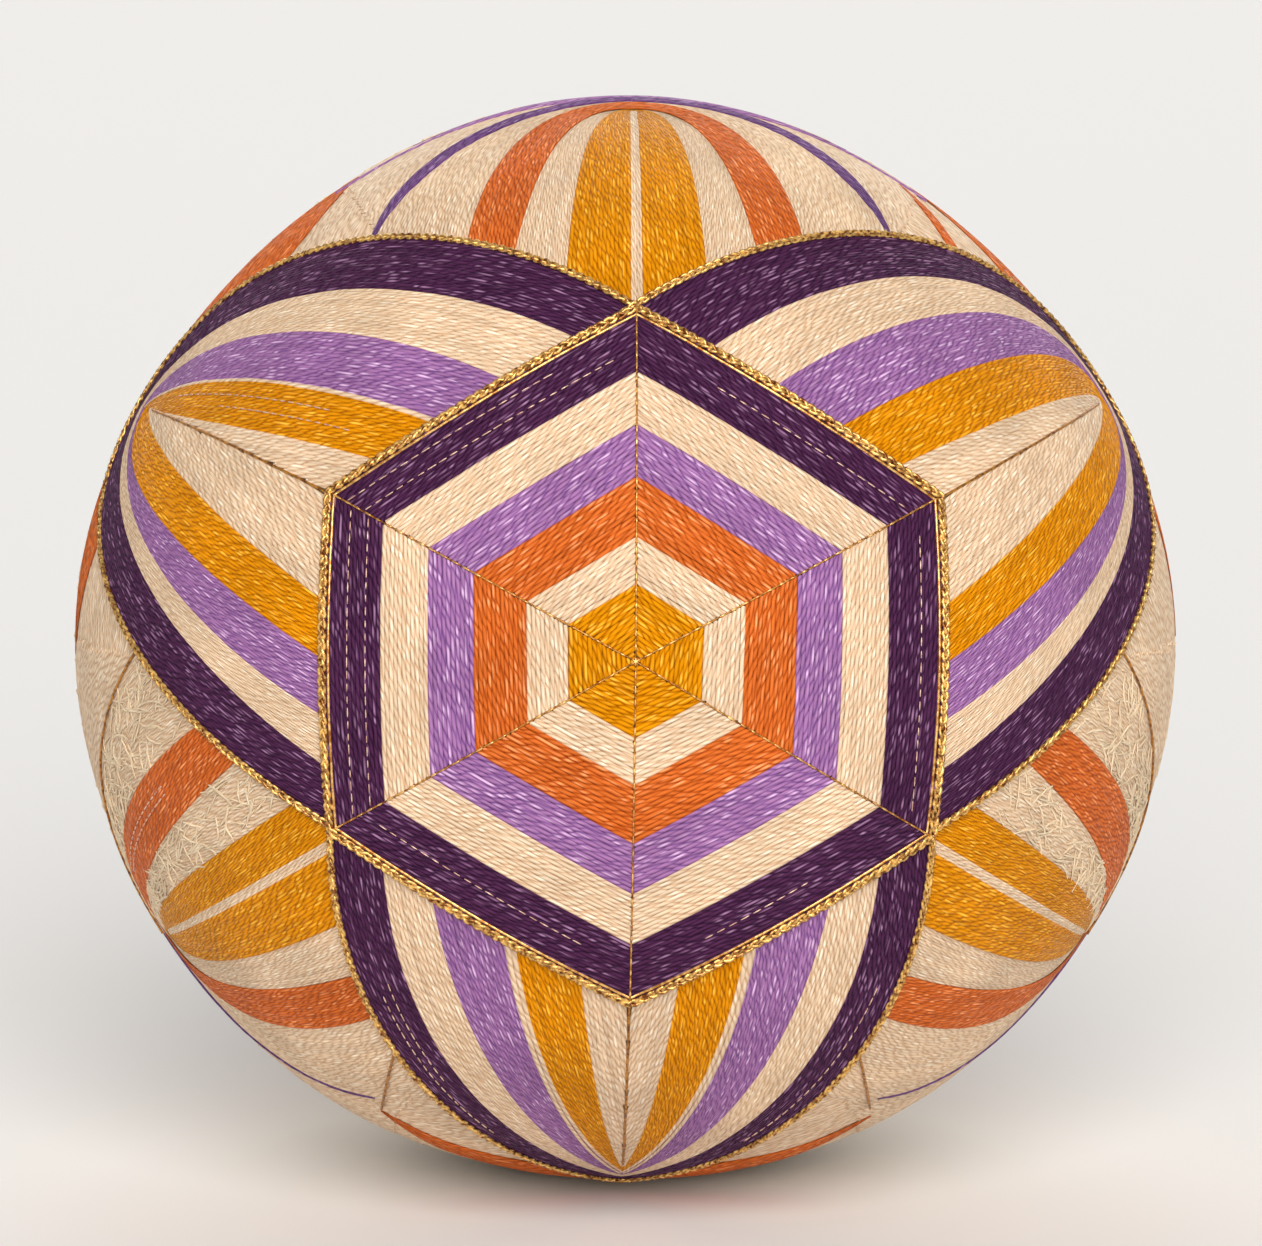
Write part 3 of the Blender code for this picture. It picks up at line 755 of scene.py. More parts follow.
def thread_tree():
    """Sweep a flattened round thread along guide curves, with a map of its length and turn."""
    tree, add, socket = new_tree("Laid threads", (
        ("Sides", "Int"), ("Flatness", "Float"), ("Wobble", "Float"), ("Wobble Length", "Float"),
        ("Hand", "Float"), ("Seed", "Float"),
    ))
    point = add("GeometryNodeInputIndex")
    number = add("GeometryNodeCurveOfPoint", {0: point}).outputs["Curve Index"]
    length = add("GeometryNodeSplineParameter").outputs["Length"]
    marked = add("GeometryNodeCaptureAttribute", {"Geometry": socket["Geometry"]})
    for place, (name, value) in enumerate((("Length", length), ("Number", number)), 1):
        marked.capture_items.new("FLOAT", name)
        tree.links.new(value, marked.inputs[place])
    # A thread laid by hand strays a little from its line
    place = add("GeometryNodeInputPosition")
    closer = add(VECTOR_MATH, {0: place, 1: socket["Wobble Length"]}, operation="DIVIDE")
    drift = add(MATH, {0: number, 1: DRIFT, 2: socket["Seed"]}, operation="MULTIPLY_ADD")
    noise = add(NOISE, {"Vector": closer, "W": drift, "Scale": 1.0, "Detail": 1.0}, noise_dimensions="4D")
    middle = add(VECTOR_MATH, {0: noise.outputs["Color"], 1: (0.5, 0.5, 0.5)}, operation="SUBTRACT")
    shift = add(VECTOR_MATH, {0: middle, "Scale": socket["Wobble"]}, operation="SCALE")
    moved = add("GeometryNodeSetPosition", {"Geometry": marked, "Offset": shift})
    # Its section is a ring, flattened and turned so that the seam of the map lies underneath
    ring = add("GeometryNodeCurvePrimitiveCircle", {"Resolution": socket["Sides"], "Radius": 1.0})
    turn = add("GeometryNodeSplineParameter").outputs["Factor"]
    turned = add("GeometryNodeCaptureAttribute", {"Geometry": ring})
    turned.capture_items.new("FLOAT", "Turn")
    tree.links.new(turn, turned.inputs[1])
    shape = add("ShaderNodeCombineXYZ", {0: socket["Flatness"], 1: 1.0, 2: 1.0})
    inputs = {"Geometry": turned, "Rotation": (0.0, 0.0, math.pi), "Scale": shape}
    flat = add("GeometryNodeTransform", inputs)
    swept = sweep(tree, facing_out(tree, moved, socket["Centre"]), flat)
    # The map: mm along the thread, and round it by its number, which is negative for a left-hand ply
    along = add(MATH, {0: marked.outputs["Length"], 1: 1 / MM}, operation="MULTIPLY")
    half = add(MATH, {0: marked.outputs["Number"], 1: 0.5}, operation="ADD")
    handed = add(MATH, {0: half, 1: socket["Hand"], 2: -0.5}, operation="MULTIPLY_ADD")
    around = add(MATH, {0: handed, 1: turned.outputs["Turn"]}, operation="ADD")
    pair = add("ShaderNodeCombineXYZ", {0: along, 1: around})
    mapped = add("GeometryNodeStoreNamedAttribute", {"Geometry": swept, "Name": "UVMap", "Value": pair},
                 data_type="FLOAT2", domain="CORNER")
    return finish_tree(tree, mapped, socket["Material"])


def plait_tree():
    """A flat plait of three strands along a guide curve."""
    tree, add, socket = new_tree("Flat plait", (
        ("Step", "Float"), ("Pitch", "Float"), ("Half Width", "Float"), ("Rise", "Float"),
        ("Strand Radius", "Float"),
    ))
    centre = socket["Centre"]
    faced = facing_out(tree, socket["Geometry"], centre)
    fine = add("GeometryNodeResampleCurve", {"Curve": faced, "Length": socket["Step"]}, mode="LENGTH")
    faced = facing_out(tree, fine, centre)
    up = outward(tree, centre)
    tangent = add("GeometryNodeInputTangent")
    aside = add(VECTOR_MATH, {0: up, 1: tangent}, operation="CROSS_PRODUCT")
    length = add("GeometryNodeSplineParameter").outputs["Length"]
    turns = add(MATH, {0: length, 1: socket["Pitch"]}, operation="DIVIDE")
    thick = add("GeometryNodeInputRadius")
    joined = add("GeometryNodeJoinGeometry")
    ring = {"Resolution": STRAND_SIDES, "Radius": socket["Strand Radius"]}
    profile = add("GeometryNodeCurvePrimitiveCircle", ring)
    for strand in range(STRANDS):
        # Each strand sways from side to side, and rises over the others twice as often
        start = math.tau * strand / STRANDS
        phase = add(MATH, {0: turns, 1: math.tau, 2: start}, operation="MULTIPLY_ADD")
        sway = add(MATH, {0: phase}, operation="SINE")
        double = add(MATH, {0: phase, 1: 2.0}, operation="MULTIPLY")
        wave = add(MATH, {0: double}, operation="SINE")
        wide = add(MATH, {0: sway, 1: socket["Half Width"]}, operation="MULTIPLY")
        wide = add(MATH, {0: wide, 1: thick}, operation="MULTIPLY")
        high = add(MATH, {0: wave, 1: socket["Rise"]}, operation="MULTIPLY")
        sideways = add(VECTOR_MATH, {0: aside, "Scale": wide}, operation="SCALE")
        upwards = add(VECTOR_MATH, {0: up, "Scale": high}, operation="SCALE")
        offset = add(VECTOR_MATH, {0: sideways, 1: upwards}, operation="ADD")
        moved = add("GeometryNodeSetPosition", {"Geometry": faced, "Offset": offset})
        tree.links.new(sweep(tree, moved, profile).outputs[0], joined.inputs[0])
    return finish_tree(tree, joined, socket["Material"])


def stitch_tree():
    """Short rounded stitches, one after the other along a guide curve."""
    tree, add, socket = new_tree("Running stitches", (
        ("Pitch", "Float"), ("Stitch Length", "Float"), ("Radius", "Float"), ("Seed", "Int"),
    ))
    faced = facing_out(tree, socket["Geometry"], socket["Centre"])
    spots = add("GeometryNodeCurveToPoints", {"Curve": faced, "Length": socket["Pitch"]}, mode="LENGTH")
    bead = add("GeometryNodeMeshUVSphere", BEAD)
    least, most = STITCH_VARIES
    vary = add("FunctionNodeRandomValue", {2: least, 3: most, "Seed": socket["Seed"]}, data_type="FLOAT")
    half = add(MATH, {0: socket["Stitch Length"], 1: 0.5}, operation="MULTIPLY")
    long = add(MATH, {0: half, 1: vary.outputs[1]}, operation="MULTIPLY")
    size = add("ShaderNodeCombineXYZ", {0: socket["Radius"], 1: socket["Radius"], 2: long})
    sewn = add("GeometryNodeInstanceOnPoints", {
        "Points": spots, "Instance": bead, "Rotation": spots.outputs["Rotation"], "Scale": size,
    })
    return finish_tree(tree, sewn, socket["Material"])


TREES = {}


def tree_named(name):
    """A node tree, built once."""
    makers = {"threads": thread_tree, "plait": plait_tree, "stitches": stitch_tree}
    if name not in TREES:
        TREES[name] = makers[name]()
    return TREES[name]


def guide_curves(name, rows, place):
    """A curve object with one poly spline for each row. place turns a map point into a point."""
    curve = bpy.data.curves.new(name, "CURVE")
    curve.dimensions = "3D"
    for row in rows:
        spline = curve.splines.new("POLY")
        spline.points.add(len(row) - 1)
        spots = []
        radii = []
        for point, width in row:
            spots += [*place(point), 1.0]
            radii.append(width)
        spline.points.foreach_set("co", spots)
        spline.points.foreach_set("radius", radii)
    item = bpy.data.objects.new(name, curve)
    bpy.context.scene.collection.objects.link(item)
    return item


def map_curves(name, rows, flat_map, lift):
    """A curve object along rows of map points, raised by lift mm off the wound ball."""
    return guide_curves(name, rows, partial(flat_map.place, lift=lift))


def grow(name, guides, tree_name, values):
    """Run a node tree on guide curves and keep the result as a plain mesh object."""
    tree = tree_named(tree_name)
    modifier = guides.modifiers.new(tree.name, "NODES")
    modifier.node_group = tree
    identifiers = {s.name: s.identifier for s in tree.interface.items_tree if s.in_out == "INPUT"}
    for key, value in {"Centre": CENTRE, **values}.items():
        modifier[identifiers[key]] = value
    graph = bpy.context.evaluated_depsgraph_get()
    mesh = bpy.data.meshes.new_from_object(guides.evaluated_get(graph), depsgraph=graph)
    guides.modifiers.remove(modifier)
    bpy.data.objects.remove(guides, do_unlink=True)
    mesh.name = name
    item = bpy.data.objects.new(name, mesh)
    bpy.context.scene.collection.objects.link(item)
    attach(item, "root")
    return item


def lay(name, rows, flat_map, lift, colour, slot_name=None, node=None, hand=1.0, wobble=None):
    """Lay rows of thread on the ball as one piece."""
    sizes = bpy.context.scene.temari_threads
    half = sizes.overlap / 2 * MM
    plain = flat_map is BACK or "ground" in (slot_name or colour)
    wide = [[(point, width * half) for point, width in row] for row in rows]
    item = grow(name, map_curves(name, wide, flat_map, lift), "threads", {
        "Sides": sizes.plain_sides if plain else sizes.sides, "Flatness": sizes.flatness, "Hand": hand,
        "Wobble": sizes.wobble if wobble is None else wobble, "Wobble Length": sizes.wobble_length,
        "Seed": float(len(name)), "Material": thread_material(colour),
    })
    if node:
        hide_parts(node)
    return item


# Materials. Sizes of their patterns are real ones, in mm, unless a comment says otherwise.

MATERIALS = {}
PLY_LENGTH = 1.25              # of one ply of pearl cotton along its thread
PLY_SLANT = 1.0                # plies that cross from one side of a thread to the other
PLY_DRIFT = 1.6                # plies by which they drift along a thread
DRIFTS_PER_MM = 0.35
# The line between plies is painted shade: each ply's colour darkens towards it.
BODY_POWER = (0.25, 0.9)       # how soon a ply darkens towards the line beside it: least, and more
# A bright dash is a painted highlight on the crown of a ply.
DASH_WIDTH = 0.10              # of a bright dash, as a share of the way round the thread
DASH_SEAT = (0.38, 0.24)       # where on the way round a dash lies: least, and more
DASHLESS = 0.45                # share of the plies that catch no light
DASH_GAIN = 1.9
DASH_ENDS = 1.6                # how soon a dash fades towards its ends
DASH_STRENGTH = {"cream": 1.0, "gold": 1.1, "orange": 1.0, "lilac": 1.0, "purple": 0.8, "violet": 0.8,
                 "ground": 0.7}
TONES_PER_MM = 0.16            # slow changes of tone, about 6 mm long
TONE_RANGE = (0.90, 1.06)
OWN_TONE = (0.92, 0.16)        # of a single thread: least, and more
HAIRS_PER_MM = 1.1             # along a thread
HAIRS_ROUND = 14.0             # round a thread. Real hairs are four times as fine, too fine to show.
FELT_PER_MM = 2.3              # threads of the felted mat, drawn coarser than real so that they show
FELT_RUNS = (
    # how far a layer of the mat is turned, and how it is stretched along its threads
    (0.3, (1.0, 0.16, 1.0)),
    (1.4, (1.0, 0.16, 1.0)),
    (2.4, (1.0, 1.0, 0.16)),
)
GLINTS_PER_MM = 2.2            # of metallic film, where one wrap catches the light
WRAPS_PER_MM = 4.2             # of the film round its core
METALS = {
    # name: colour of the painted glints, painted shade of the creases, metallic, roughness
    "gilt_braid": ("#FFD07A", "#7A4012", 0.65, 0.3),
    "bright_gilt_thread": ("#FFD080", "#B06A22", 0.7, 0.3),
    "old_gilt_thread": ("#C98A34", "#6E3D14", 0.5, 0.4),
    "pale_gilt_thread": ("#F0CDB4", "#B98A78", 0.25, 0.35),
}


def colour_of(name):
    """A thread colour from the panel, with full alpha."""
    return (*getattr(bpy.context.scene.temari_colours, name), 1.0)


def new_material(name):
    """A material, its node tree, its maker of nodes, and its shader's inputs."""
    material = bpy.data.materials.new(name)
    material.use_nodes = True
    tree = material.node_tree
    MATERIALS[name] = material
    return tree, partial(add_node, tree), tree.nodes["Principled BSDF"].inputs


def thread_material(name):
    """Mercerised pearl cotton.

    Its two plies cross the thread at a slant. Each crown has a painted highlight, a short bright
    dash, and the line between one ply and the next is painted darker as shade.
    """
    key = name + "_pearl_cotton"
    if key in MATERIALS:
        return MATERIALS[key]
    tree, add, shader = new_material(key)
    uv = add("ShaderNodeUVMap", uv_map="UVMap")
    parts = add("ShaderNodeSeparateXYZ", {0: uv})
    along, around = parts.outputs[0], parts.outputs[1]
    number = add(MATH, {0: around}, operation="FLOOR")
    turn = add(MATH, {0: around}, operation="FRACT")
    half_up = add(MATH, {0: number, 1: 0.5}, operation="ADD")
    hand = add(MATH, {0: half_up}, operation="SIGN")
    chance = add("ShaderNodeTexWhiteNoise", {"W": number}, noise_dimensions="1D")
    # Which ply of which thread a spot lies on
    slant = add(MATH, {0: turn, 1: 2.0 * PLY_SLANT}, operation="MULTIPLY")
    slant = add(MATH, {0: slant, 1: hand}, operation="MULTIPLY")
    phase = add(MATH, {0: along, 1: 1.0 / PLY_LENGTH, 2: slant}, operation="MULTIPLY_ADD")
    phase = add(MATH, {0: chance, 1: 9.0, 2: phase}, operation="MULTIPLY_ADD")
    place = add(MATH, {0: chance, 1: 90.0, 2: along}, operation="MULTIPLY_ADD")
    drift = add(NOISE, {"W": place, "Scale": DRIFTS_PER_MM, "Detail": 1.0}, noise_dimensions="1D")
    phase = add(MATH, {0: drift, 1: PLY_DRIFT, 2: phase}, operation="MULTIPLY_ADD")
    ply = add(MATH, {0: phase}, operation="FLOOR")
    across = add(MATH, {0: phase}, operation="FRACT")
    across = add(MATH, {0: across, 1: math.pi}, operation="MULTIPLY")
    crown = add(MATH, {0: across}, operation="SINE")
    pair = add("ShaderNodeCombineXYZ", {0: ply, 1: number})
    luck = add("ShaderNodeTexWhiteNoise", {"Vector": pair}, noise_dimensions="2D")
    lots = add("ShaderNodeSeparateColor", {0: luck.outputs["Color"]})
    # The ply's body, painted darker as shade from its crown down to the line beside it
    least, more = BODY_POWER
    power = add(MATH, {0: lots.outputs[2], 1: more, 2: least}, operation="MULTIPLY_ADD")
    body = add(MATH, {0: crown, 1: power}, operation="POWER")
    ends = {6: colour_of(name + "_shade"), 7: colour_of(name)}
    colour = add("ShaderNodeMix", {0: body, **ends}, data_type="RGBA")
    # The painted highlight, a bright dash on a ply's crown: some plies have none
    least, more = DASH_SEAT
    seat = add(MATH, {0: luck, 1: more, 2: least}, operation="MULTIPLY_ADD")
    seat = add(MATH, {0: turn, 1: seat}, operation="SUBTRACT")
    seat = add(MATH, {0: seat, 1: DASH_WIDTH}, operation="DIVIDE")
    seat = add(MATH, {0: seat, 1: 2.0}, operation="POWER")
    seat = add(MATH, {0: 1.0, 1: seat}, operation="SUBTRACT", use_clamp=True)
    bright = add(MATH, {0: lots.outputs[1], 1: DASHLESS}, operation="SUBTRACT")
    bright = add(MATH, {0: bright, 1: DASH_GAIN}, operation="MULTIPLY", use_clamp=True)
    bright = add(MATH, {0: bright, 1: seat}, operation="MULTIPLY")
    peak = add(MATH, {0: crown, 1: DASH_ENDS}, operation="POWER")
    bright = add(MATH, {0: bright, 1: peak}, operation="MULTIPLY")
    bright = add(MATH, {0: bright, 1: DASH_STRENGTH[name]}, operation="MULTIPLY", use_clamp=True)
    ends = {6: colour.outputs[2], 7: colour_of(name + "_painted_highlight")}
    colour = add("ShaderNodeMix", {0: bright, **ends}, data_type="RGBA")
    # Slow changes of tone over the ball and from thread to thread
    spot = add("ShaderNodeTexCoord").outputs["Object"]
    tone = add(NOISE, {"Scale": TONES_PER_MM / MM, "Detail": 2.0, "Vector": spot})
    darkest, lightest = TONE_RANGE
    shade = add("ShaderNodeMapRange", {0: tone, 1: 0.3, 2: 0.7, 3: darkest, 4: lightest})
    least, more = OWN_TONE
    own = add(MATH, {0: chance, 1: more, 2: least}, operation="MULTIPLY_ADD")
    shade = add(MATH, {0: shade, 1: own}, operation="MULTIPLY")
    colour = add("ShaderNodeHueSaturation", {"Value": shade, "Color": colour.outputs[2]})
    tree.links.new(colour.outputs[0], shader["Base Color"])
    # Fine hairs and the rounding of each ply
    lengthwise = add(MATH, {0: along, 1: HAIRS_PER_MM}, operation="MULTIPLY")
    crosswise = add(MATH, {0: around, 1: HAIRS_ROUND}, operation="MULTIPLY")
    hair = add("ShaderNodeCombineXYZ", {0: lengthwise, 1: crosswise})
    fibres = add(NOISE, {"Vector": hair, "Scale": 1.0, "Detail": 2.0}, noise_dimensions="2D")
    height = add(MATH, {0: fibres, 1: 0.5, 2: crown}, operation="MULTIPLY_ADD")
    bump = add("ShaderNodeBump", {"Strength": 0.8, "Distance": 0.07 * MM, "Height": height})
    tree.links.new(bump.outputs[0], shader["Normal"])
    rough = add("ShaderNodeMapRange", {0: luck, 3: 0.62, 4: 0.38})
    tree.links.new(rough.outputs[0], shader["Roughness"])
    shader["Sheen Weight"].default_value = 0.03
    shader["Sheen Tint"].default_value = colour_of(name)
    shader["Specular IOR Level"].default_value = 0.15
    shader["Specular Tint"].default_value = colour_of(name + "_painted_highlight")
    return MATERIALS[key]


def ground_material():
    """Matt wound cotton: a felted mat of fine threads that run every way, with painted shade in the gaps
    between them.
    """
    tree, add, shader = new_material("wound_cotton")
    place = add("ShaderNodeTexCoord").outputs["Object"]
    height = None
    for turn, stretch in FELT_RUNS:
        inputs = {"Vector": place, "Rotation": (turn, turn * 0.7, turn), "Scale": stretch}
        run = add("ShaderNodeMapping", inputs)
        noise = add(NOISE, {"Vector": run, "Scale": FELT_PER_MM / MM, "Detail": 2.0})
        height = add(MATH, {0: height, 1: noise}, operation="MAXIMUM") if height else noise
    # Low spots of the mat get the gap colour, painted shade between its threads.
    light = add("ShaderNodeMapRange", {0: height, 1: 0.50, 2: 0.70})
    ends = {6: colour_of("ground_gap_painted_shading"), 7: colour_of("ground")}
    colour = add("ShaderNodeMix", {0: light, **ends}, data_type="RGBA")
    tree.links.new(colour.outputs[2], shader["Base Color"])
    bump = add("ShaderNodeBump", {"Strength": 0.8, "Distance": 0.15 * MM, "Height": height})
    tree.links.new(bump.outputs[0], shader["Normal"])
    shader["Roughness"].default_value = 0.85
    shader["Sheen Weight"].default_value = 0.2
    return MATERIALS["wound_cotton"]


def metal_material(name):
    """Metallic thread: a bright film wrapped round a core, its colour painted with fine glints as
    highlights and dark creases as shade.
    """
    if name in MATERIALS:
        return MATERIALS[name]
    bright, painted_crease_shade, metallic, roughness = METALS[name]
    tree, add, shader = new_material(name)
    place = add("ShaderNodeTexCoord").outputs["Object"]
    # The colour runs from painted shade in the creases to painted glints, by a noise over the film.
    glint = add(NOISE, {"Vector": place, "Scale": GLINTS_PER_MM / MM, "Detail": 2.0})
    share = add("ShaderNodeMapRange", {0: glint, 1: 0.34, 2: 0.62})
    ends = {6: (*linear(painted_crease_shade), 1.0), 7: (*linear(bright), 1.0)}
    colour = add("ShaderNodeMix", {0: share, **ends}, data_type="RGBA")
    tree.links.new(colour.outputs[2], shader["Base Color"])
    wrap = add(NOISE, {"Vector": place, "Scale": WRAPS_PER_MM / MM, "Detail": 1.0})
    bump = add("ShaderNodeBump", {"Strength": 0.5, "Distance": 0.05 * MM, "Height": wrap})
    tree.links.new(bump.outputs[0], shader["Normal"])
    shader["Metallic"].default_value = metallic
    shader["Roughness"].default_value = roughness
    return MATERIALS[name]


# Pieces

def build_ground():
    """The wound ball: a fine round body, replacing the ball's solid."""
    rings, slices = BALL_RINGS, BALL_SLICES
    spots = []
    down = ball_radius(Vector((0, 0, -1)))
    rim = math.acos(CENTRE_HEIGHT / down)
    for i in range(rings):
        tilt = rim + (math.pi - rim) * i / rings
        for k in range(slices):
            turn = math.tau * k / slices
            direction = Vector((math.sin(tilt) * math.cos(turn), math.sin(tilt) * math.sin(turn),
                                -math.cos(tilt)))
            spot = direction * (ball_radius(direction) - BALL_INSET)
            spots.append(Vector((spot.x, spot.y, max(spot.z + CENTRE_HEIGHT, 0.0))) * MM)
    bottom = len(spots)
    spots.append(Vector((0, 0, 0)))
    spots.append(Vector((0, 0, CENTRE_HEIGHT + ball_radius(Vector((0, 0, 1))) - BALL_INSET)) * MM)
    faces = []
    for k in range(slices):
        n = (k + 1) % slices
        for i in range(rings - 1):
            low, high = i * slices, (i + 1) * slices
            faces.append((low + k, low + n, high + n, high + k))
        faces.append((bottom, n, k))
        last = (rings - 1) * slices
        faces.append((last + k, last + n, bottom + 1))
    mesh = bpy.data.meshes.new("wound_ball")
    mesh.from_pydata([tuple(s) for s in spots], [], faces)
    mesh.shade_smooth()
    mesh.materials.append(ground_material())
    item = bpy.data.objects.new("wound_ball", mesh)
    bpy.context.scene.collection.objects.link(item)
    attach(item, "root")
    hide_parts("ball")
    return item


def within_sector(point, azimuth, spread):
    """Whether a map point lies within spread degrees of an axis."""
    turn = math.degrees(math.atan2(point[1], point[0])) - azimuth
    return abs((turn + 180.0) % 360.0 - 180.0) < spread


def motif_depth(point, corners, petals, spindles):
    """How far under a stitched motif a map point lies, mm."""
    depth = -outside_hexagon(point, corners)
    for _, azimuth, lean, clockwise, counter in petals:
        halves = (PETAL_BORDERS[clockwise]["edge"], PETAL_BORDERS[counter]["edge"])
        depth = max(depth, inside_oval(point, azimuth, halves, lean))
    for _, azimuth, clockwise, counter in spindles:
        halves = [SPINDLE_BORDERS[half]["outline"] for half in (clockwise, counter)]
        depth = max(depth, inside_oval(point, azimuth, halves))
    return depth


def under_petals(point):
    """How far under the front hexagon and its petals a map point lies, mm."""
    return motif_depth(point, CORNERS, PETALS, ())


def covered(direction):
    """How far under laid thread a direction from the ball's middle lies, mm."""
    front = FIELD_REACH - math.hypot(*FRONT.find(direction))
    point = BACK.find(direction)
    if front > 0 or math.hypot(*point) > BACK_MAP_REACH:
        return front
    return max(front, BACK_DEPTH * motif_depth(point, BACK_CORNERS, BACK_PETALS, BACK_SPINDLES))


def random_direction(rng):
    """A direction that is as likely as any other."""
    z = rng.uniform(-1, 1)
    turn = rng.uniform(0, math.tau)
    flat = math.sqrt(1 - z * z)
    return Vector((flat * math.cos(turn), flat * math.sin(turn), z))


def wound_rows(circles, width, rng):
    """Great circles in every direction, kept where no laid thread covers them."""
    rows = []
    steps = round(math.tau * BALL_RADIUS / WINDING_STEP)
    for _ in range(circles):
        axis = random_direction(rng)
        a = axis.orthogonal().normalized()
        b = axis.cross(a)
        start = rng.uniform(0, math.tau)
        row = []
        for i in range(steps + 1):
            turn = start + math.tau * i / steps
            sway = WINDING_SWAY * math.sin(turn * 3 + start)
            row.append(((a * math.cos(turn) + b * math.sin(turn) + axis * sway).normalized(), width))
        rows.append(row)
    runs = []
    for row in rows:
        over = rng.uniform(*WINDING_OVER)
        runs += trimmed([row], lambda direction: covered(direction) < over)
    return runs


def stray_rows(spindle, side, rng):
    """Short loose pieces of thread that lie over the cream of half a spindle, nearly along it."""
    rows = []
    for _ in range(STRAYS):
        borders = rng.choice((("gold", "cream"), ("orange", "outline"), ("orange", "outline")))
        inner, outer = (spindle_border(spindle, name, side) for name in borders)
        turn, share = rng.uniform(*STRAY_TURNS), rng.uniform(*STRAY_SHARES)
        x, y = mix(inner(turn), outer(turn), share)
        ahead = mix(inner(turn + 1.0), outer(turn + 1.0), share)
        heading = math.atan2(ahead[1] - y, ahead[0] - x) + rng.gauss(0.0, STRAY_SPREAD)
        bend = rng.uniform(-STRAY_BEND, STRAY_BEND) / STRAY_LENGTH
        half = STRAY_LENGTH * rng.uniform(STRAY_SHORTEST, 1.0) / 2
        row = []
        for i in range(4):
            s = half * (2 * i / 3 - 1)
            row.append(((x + s * math.cos(heading + bend * s), y + s * math.sin(heading + bend * s)),
                        STRAY_WIDTH * (0.5 if i in (0, 3) else 1.0)))
        rows.append(row)
    return rows


def build_winding(rng):
    """The ball's winding thread, where it shows."""
    sizes = bpy.context.scene.temari_threads
    rows = wound_rows(sizes.winding_turns, sizes.winding_width / 2, rng)
    heights = iter([rng.uniform(0.0, WINDING_HEAP) for _ in rows])
    curves = []
    for row in rows:
        lift = WINDING_LIFT + next(heights)
        curves.append([(on_ball(direction, lift), width) for direction, width in row])
    item = grow("winding", guide_curves("winding", curves, tuple), "threads", {
        **WINDING_SHAPE, "Seed": 3.0, "Material": thread_material("ground"),
    })
    return item


def build_field(rng):
    """The laid ground between and outside the petals and spindles, and its stray threads."""
    spacing = bpy.context.scene.temari_threads.plain_spacing / MM

    def open_ground(point):
        return math.hypot(*point) < FIELD_END and under_petals(point) < HIDDEN

    for petal in PETALS:
        rows = rim_rows(petal[1], FIELD_ROWS_START, FIELD_END, SECTOR, spacing)
        rows = trimmed(rows, lambda point: open_ground(point) and math.hypot(*point) > FIELD_SHOWS)
        lay(petal[0].replace("petal", "field"), rows, FRONT, PETAL_FIELD_LIFT, "cream",
            slot_name="ground_thread")
    for spindle in SPINDLES:
        for side, half in HALVES:
            outer = border_line(FIELD_BORDER, side, spindle[1])
            inner = spindle_border(spindle, "outline", side)
            rows = band_rows([outer], [inner], lambda point: 1.0, spacing, 1.0)
            rows = trimmed(rows, lambda point: open_ground(point)
                           and within_sector(point, spindle[1], SECTOR))
            lay(f"{spindle[0]}_field_{half}", rows, FRONT, FIELD_LIFT, "cream",
                slot_name="ground_thread", hand=float(side))
            if (spindle[2] if side < 0 else spindle[3]) != "low_upper":
                continue
            rows = stray_rows(spindle, side, rng)
            rows = trimmed(rows, lambda point: under_petals(point) < STRAY_TUCK)
            lay(f"{spindle[0]}_strays_{half}", rows, FRONT, STRAY_LIFT, "ground", wobble=STRAY_WOBBLE)


def build_hexagon():
    """The hexagon's six rounds of thread."""
    spacing = bpy.context.scene.temari_threads.spacing / MM
    rng = random.Random(11)
    for name, inner, outer, colour in HEXAGON_RINGS:
        for hand, sides in ((1.0, (1, 2, 3)), (-1.0, (0, 5, 4))):
            rows = []
            for side in sides:
                rows += side_rows(CORNERS, side, inner, outer, spacing, 1.0, rng)
            half = "left" if hand > 0 else "right"
            node = name if hand > 0 else None
            lay(f"{name}_{half}", rows, FRONT, HEXAGON_LIFT, colour, node=node, hand=hand)


def spacing_on(flat_map):
    """From one row of thread to the next on one side of the ball, mm."""
    sizes = bpy.context.scene.temari_threads
    return (sizes.plain_spacing if flat_map is BACK else sizes.spacing) / MM


def build_petal(petal, flat_map, corners, lift, nodes):
    """A petal's bands and its heart. nodes says which of its colours replaces which node."""
    spacing = spacing_on(flat_map)
    scale = flat_map.scale
    clearance = off_hexagon(corners, HEXAGON_GAP)
    for colour, outer, inner in PETAL_BANDS:
        outers = [petal_border(petal, outer, side) for side in (-1, 1)]
        inners = [petal_border(petal, inner, side) for side in (-1, 1)]
        rows = band_rows(outers, inners, clearance, spacing, scale)
        lay(f"{petal[0]}_{colour}_rows", rows, flat_map, lift, colour, node=nodes.get(colour))
    for number, side, width, count in FRINGES:
        if petal is PETALS[number]:
            rows = line_rows(petal_border(petal, "lilac", side), width, count, clearance)
            rows = [[(point, wide * (1.0 - FRINGE_TAPER * i / len(row)))
                     for i, (point, wide) in enumerate(row)] for row in rows]
            half = "clockwise" if side < 0 else "counter"
            lay(f"{petal[0]}_fringe_{half}", rows, flat_map, lift + FRINGE_RISE, "cream")
    for side, half in HALVES:
        rows = heart_rows(petal, side, clearance, spacing, scale)
        lay(f"{petal[0]}_heart_{half}", rows, flat_map, lift, "cream", hand=float(-side),
            node=nodes.get("heart") if side < 0 else None)


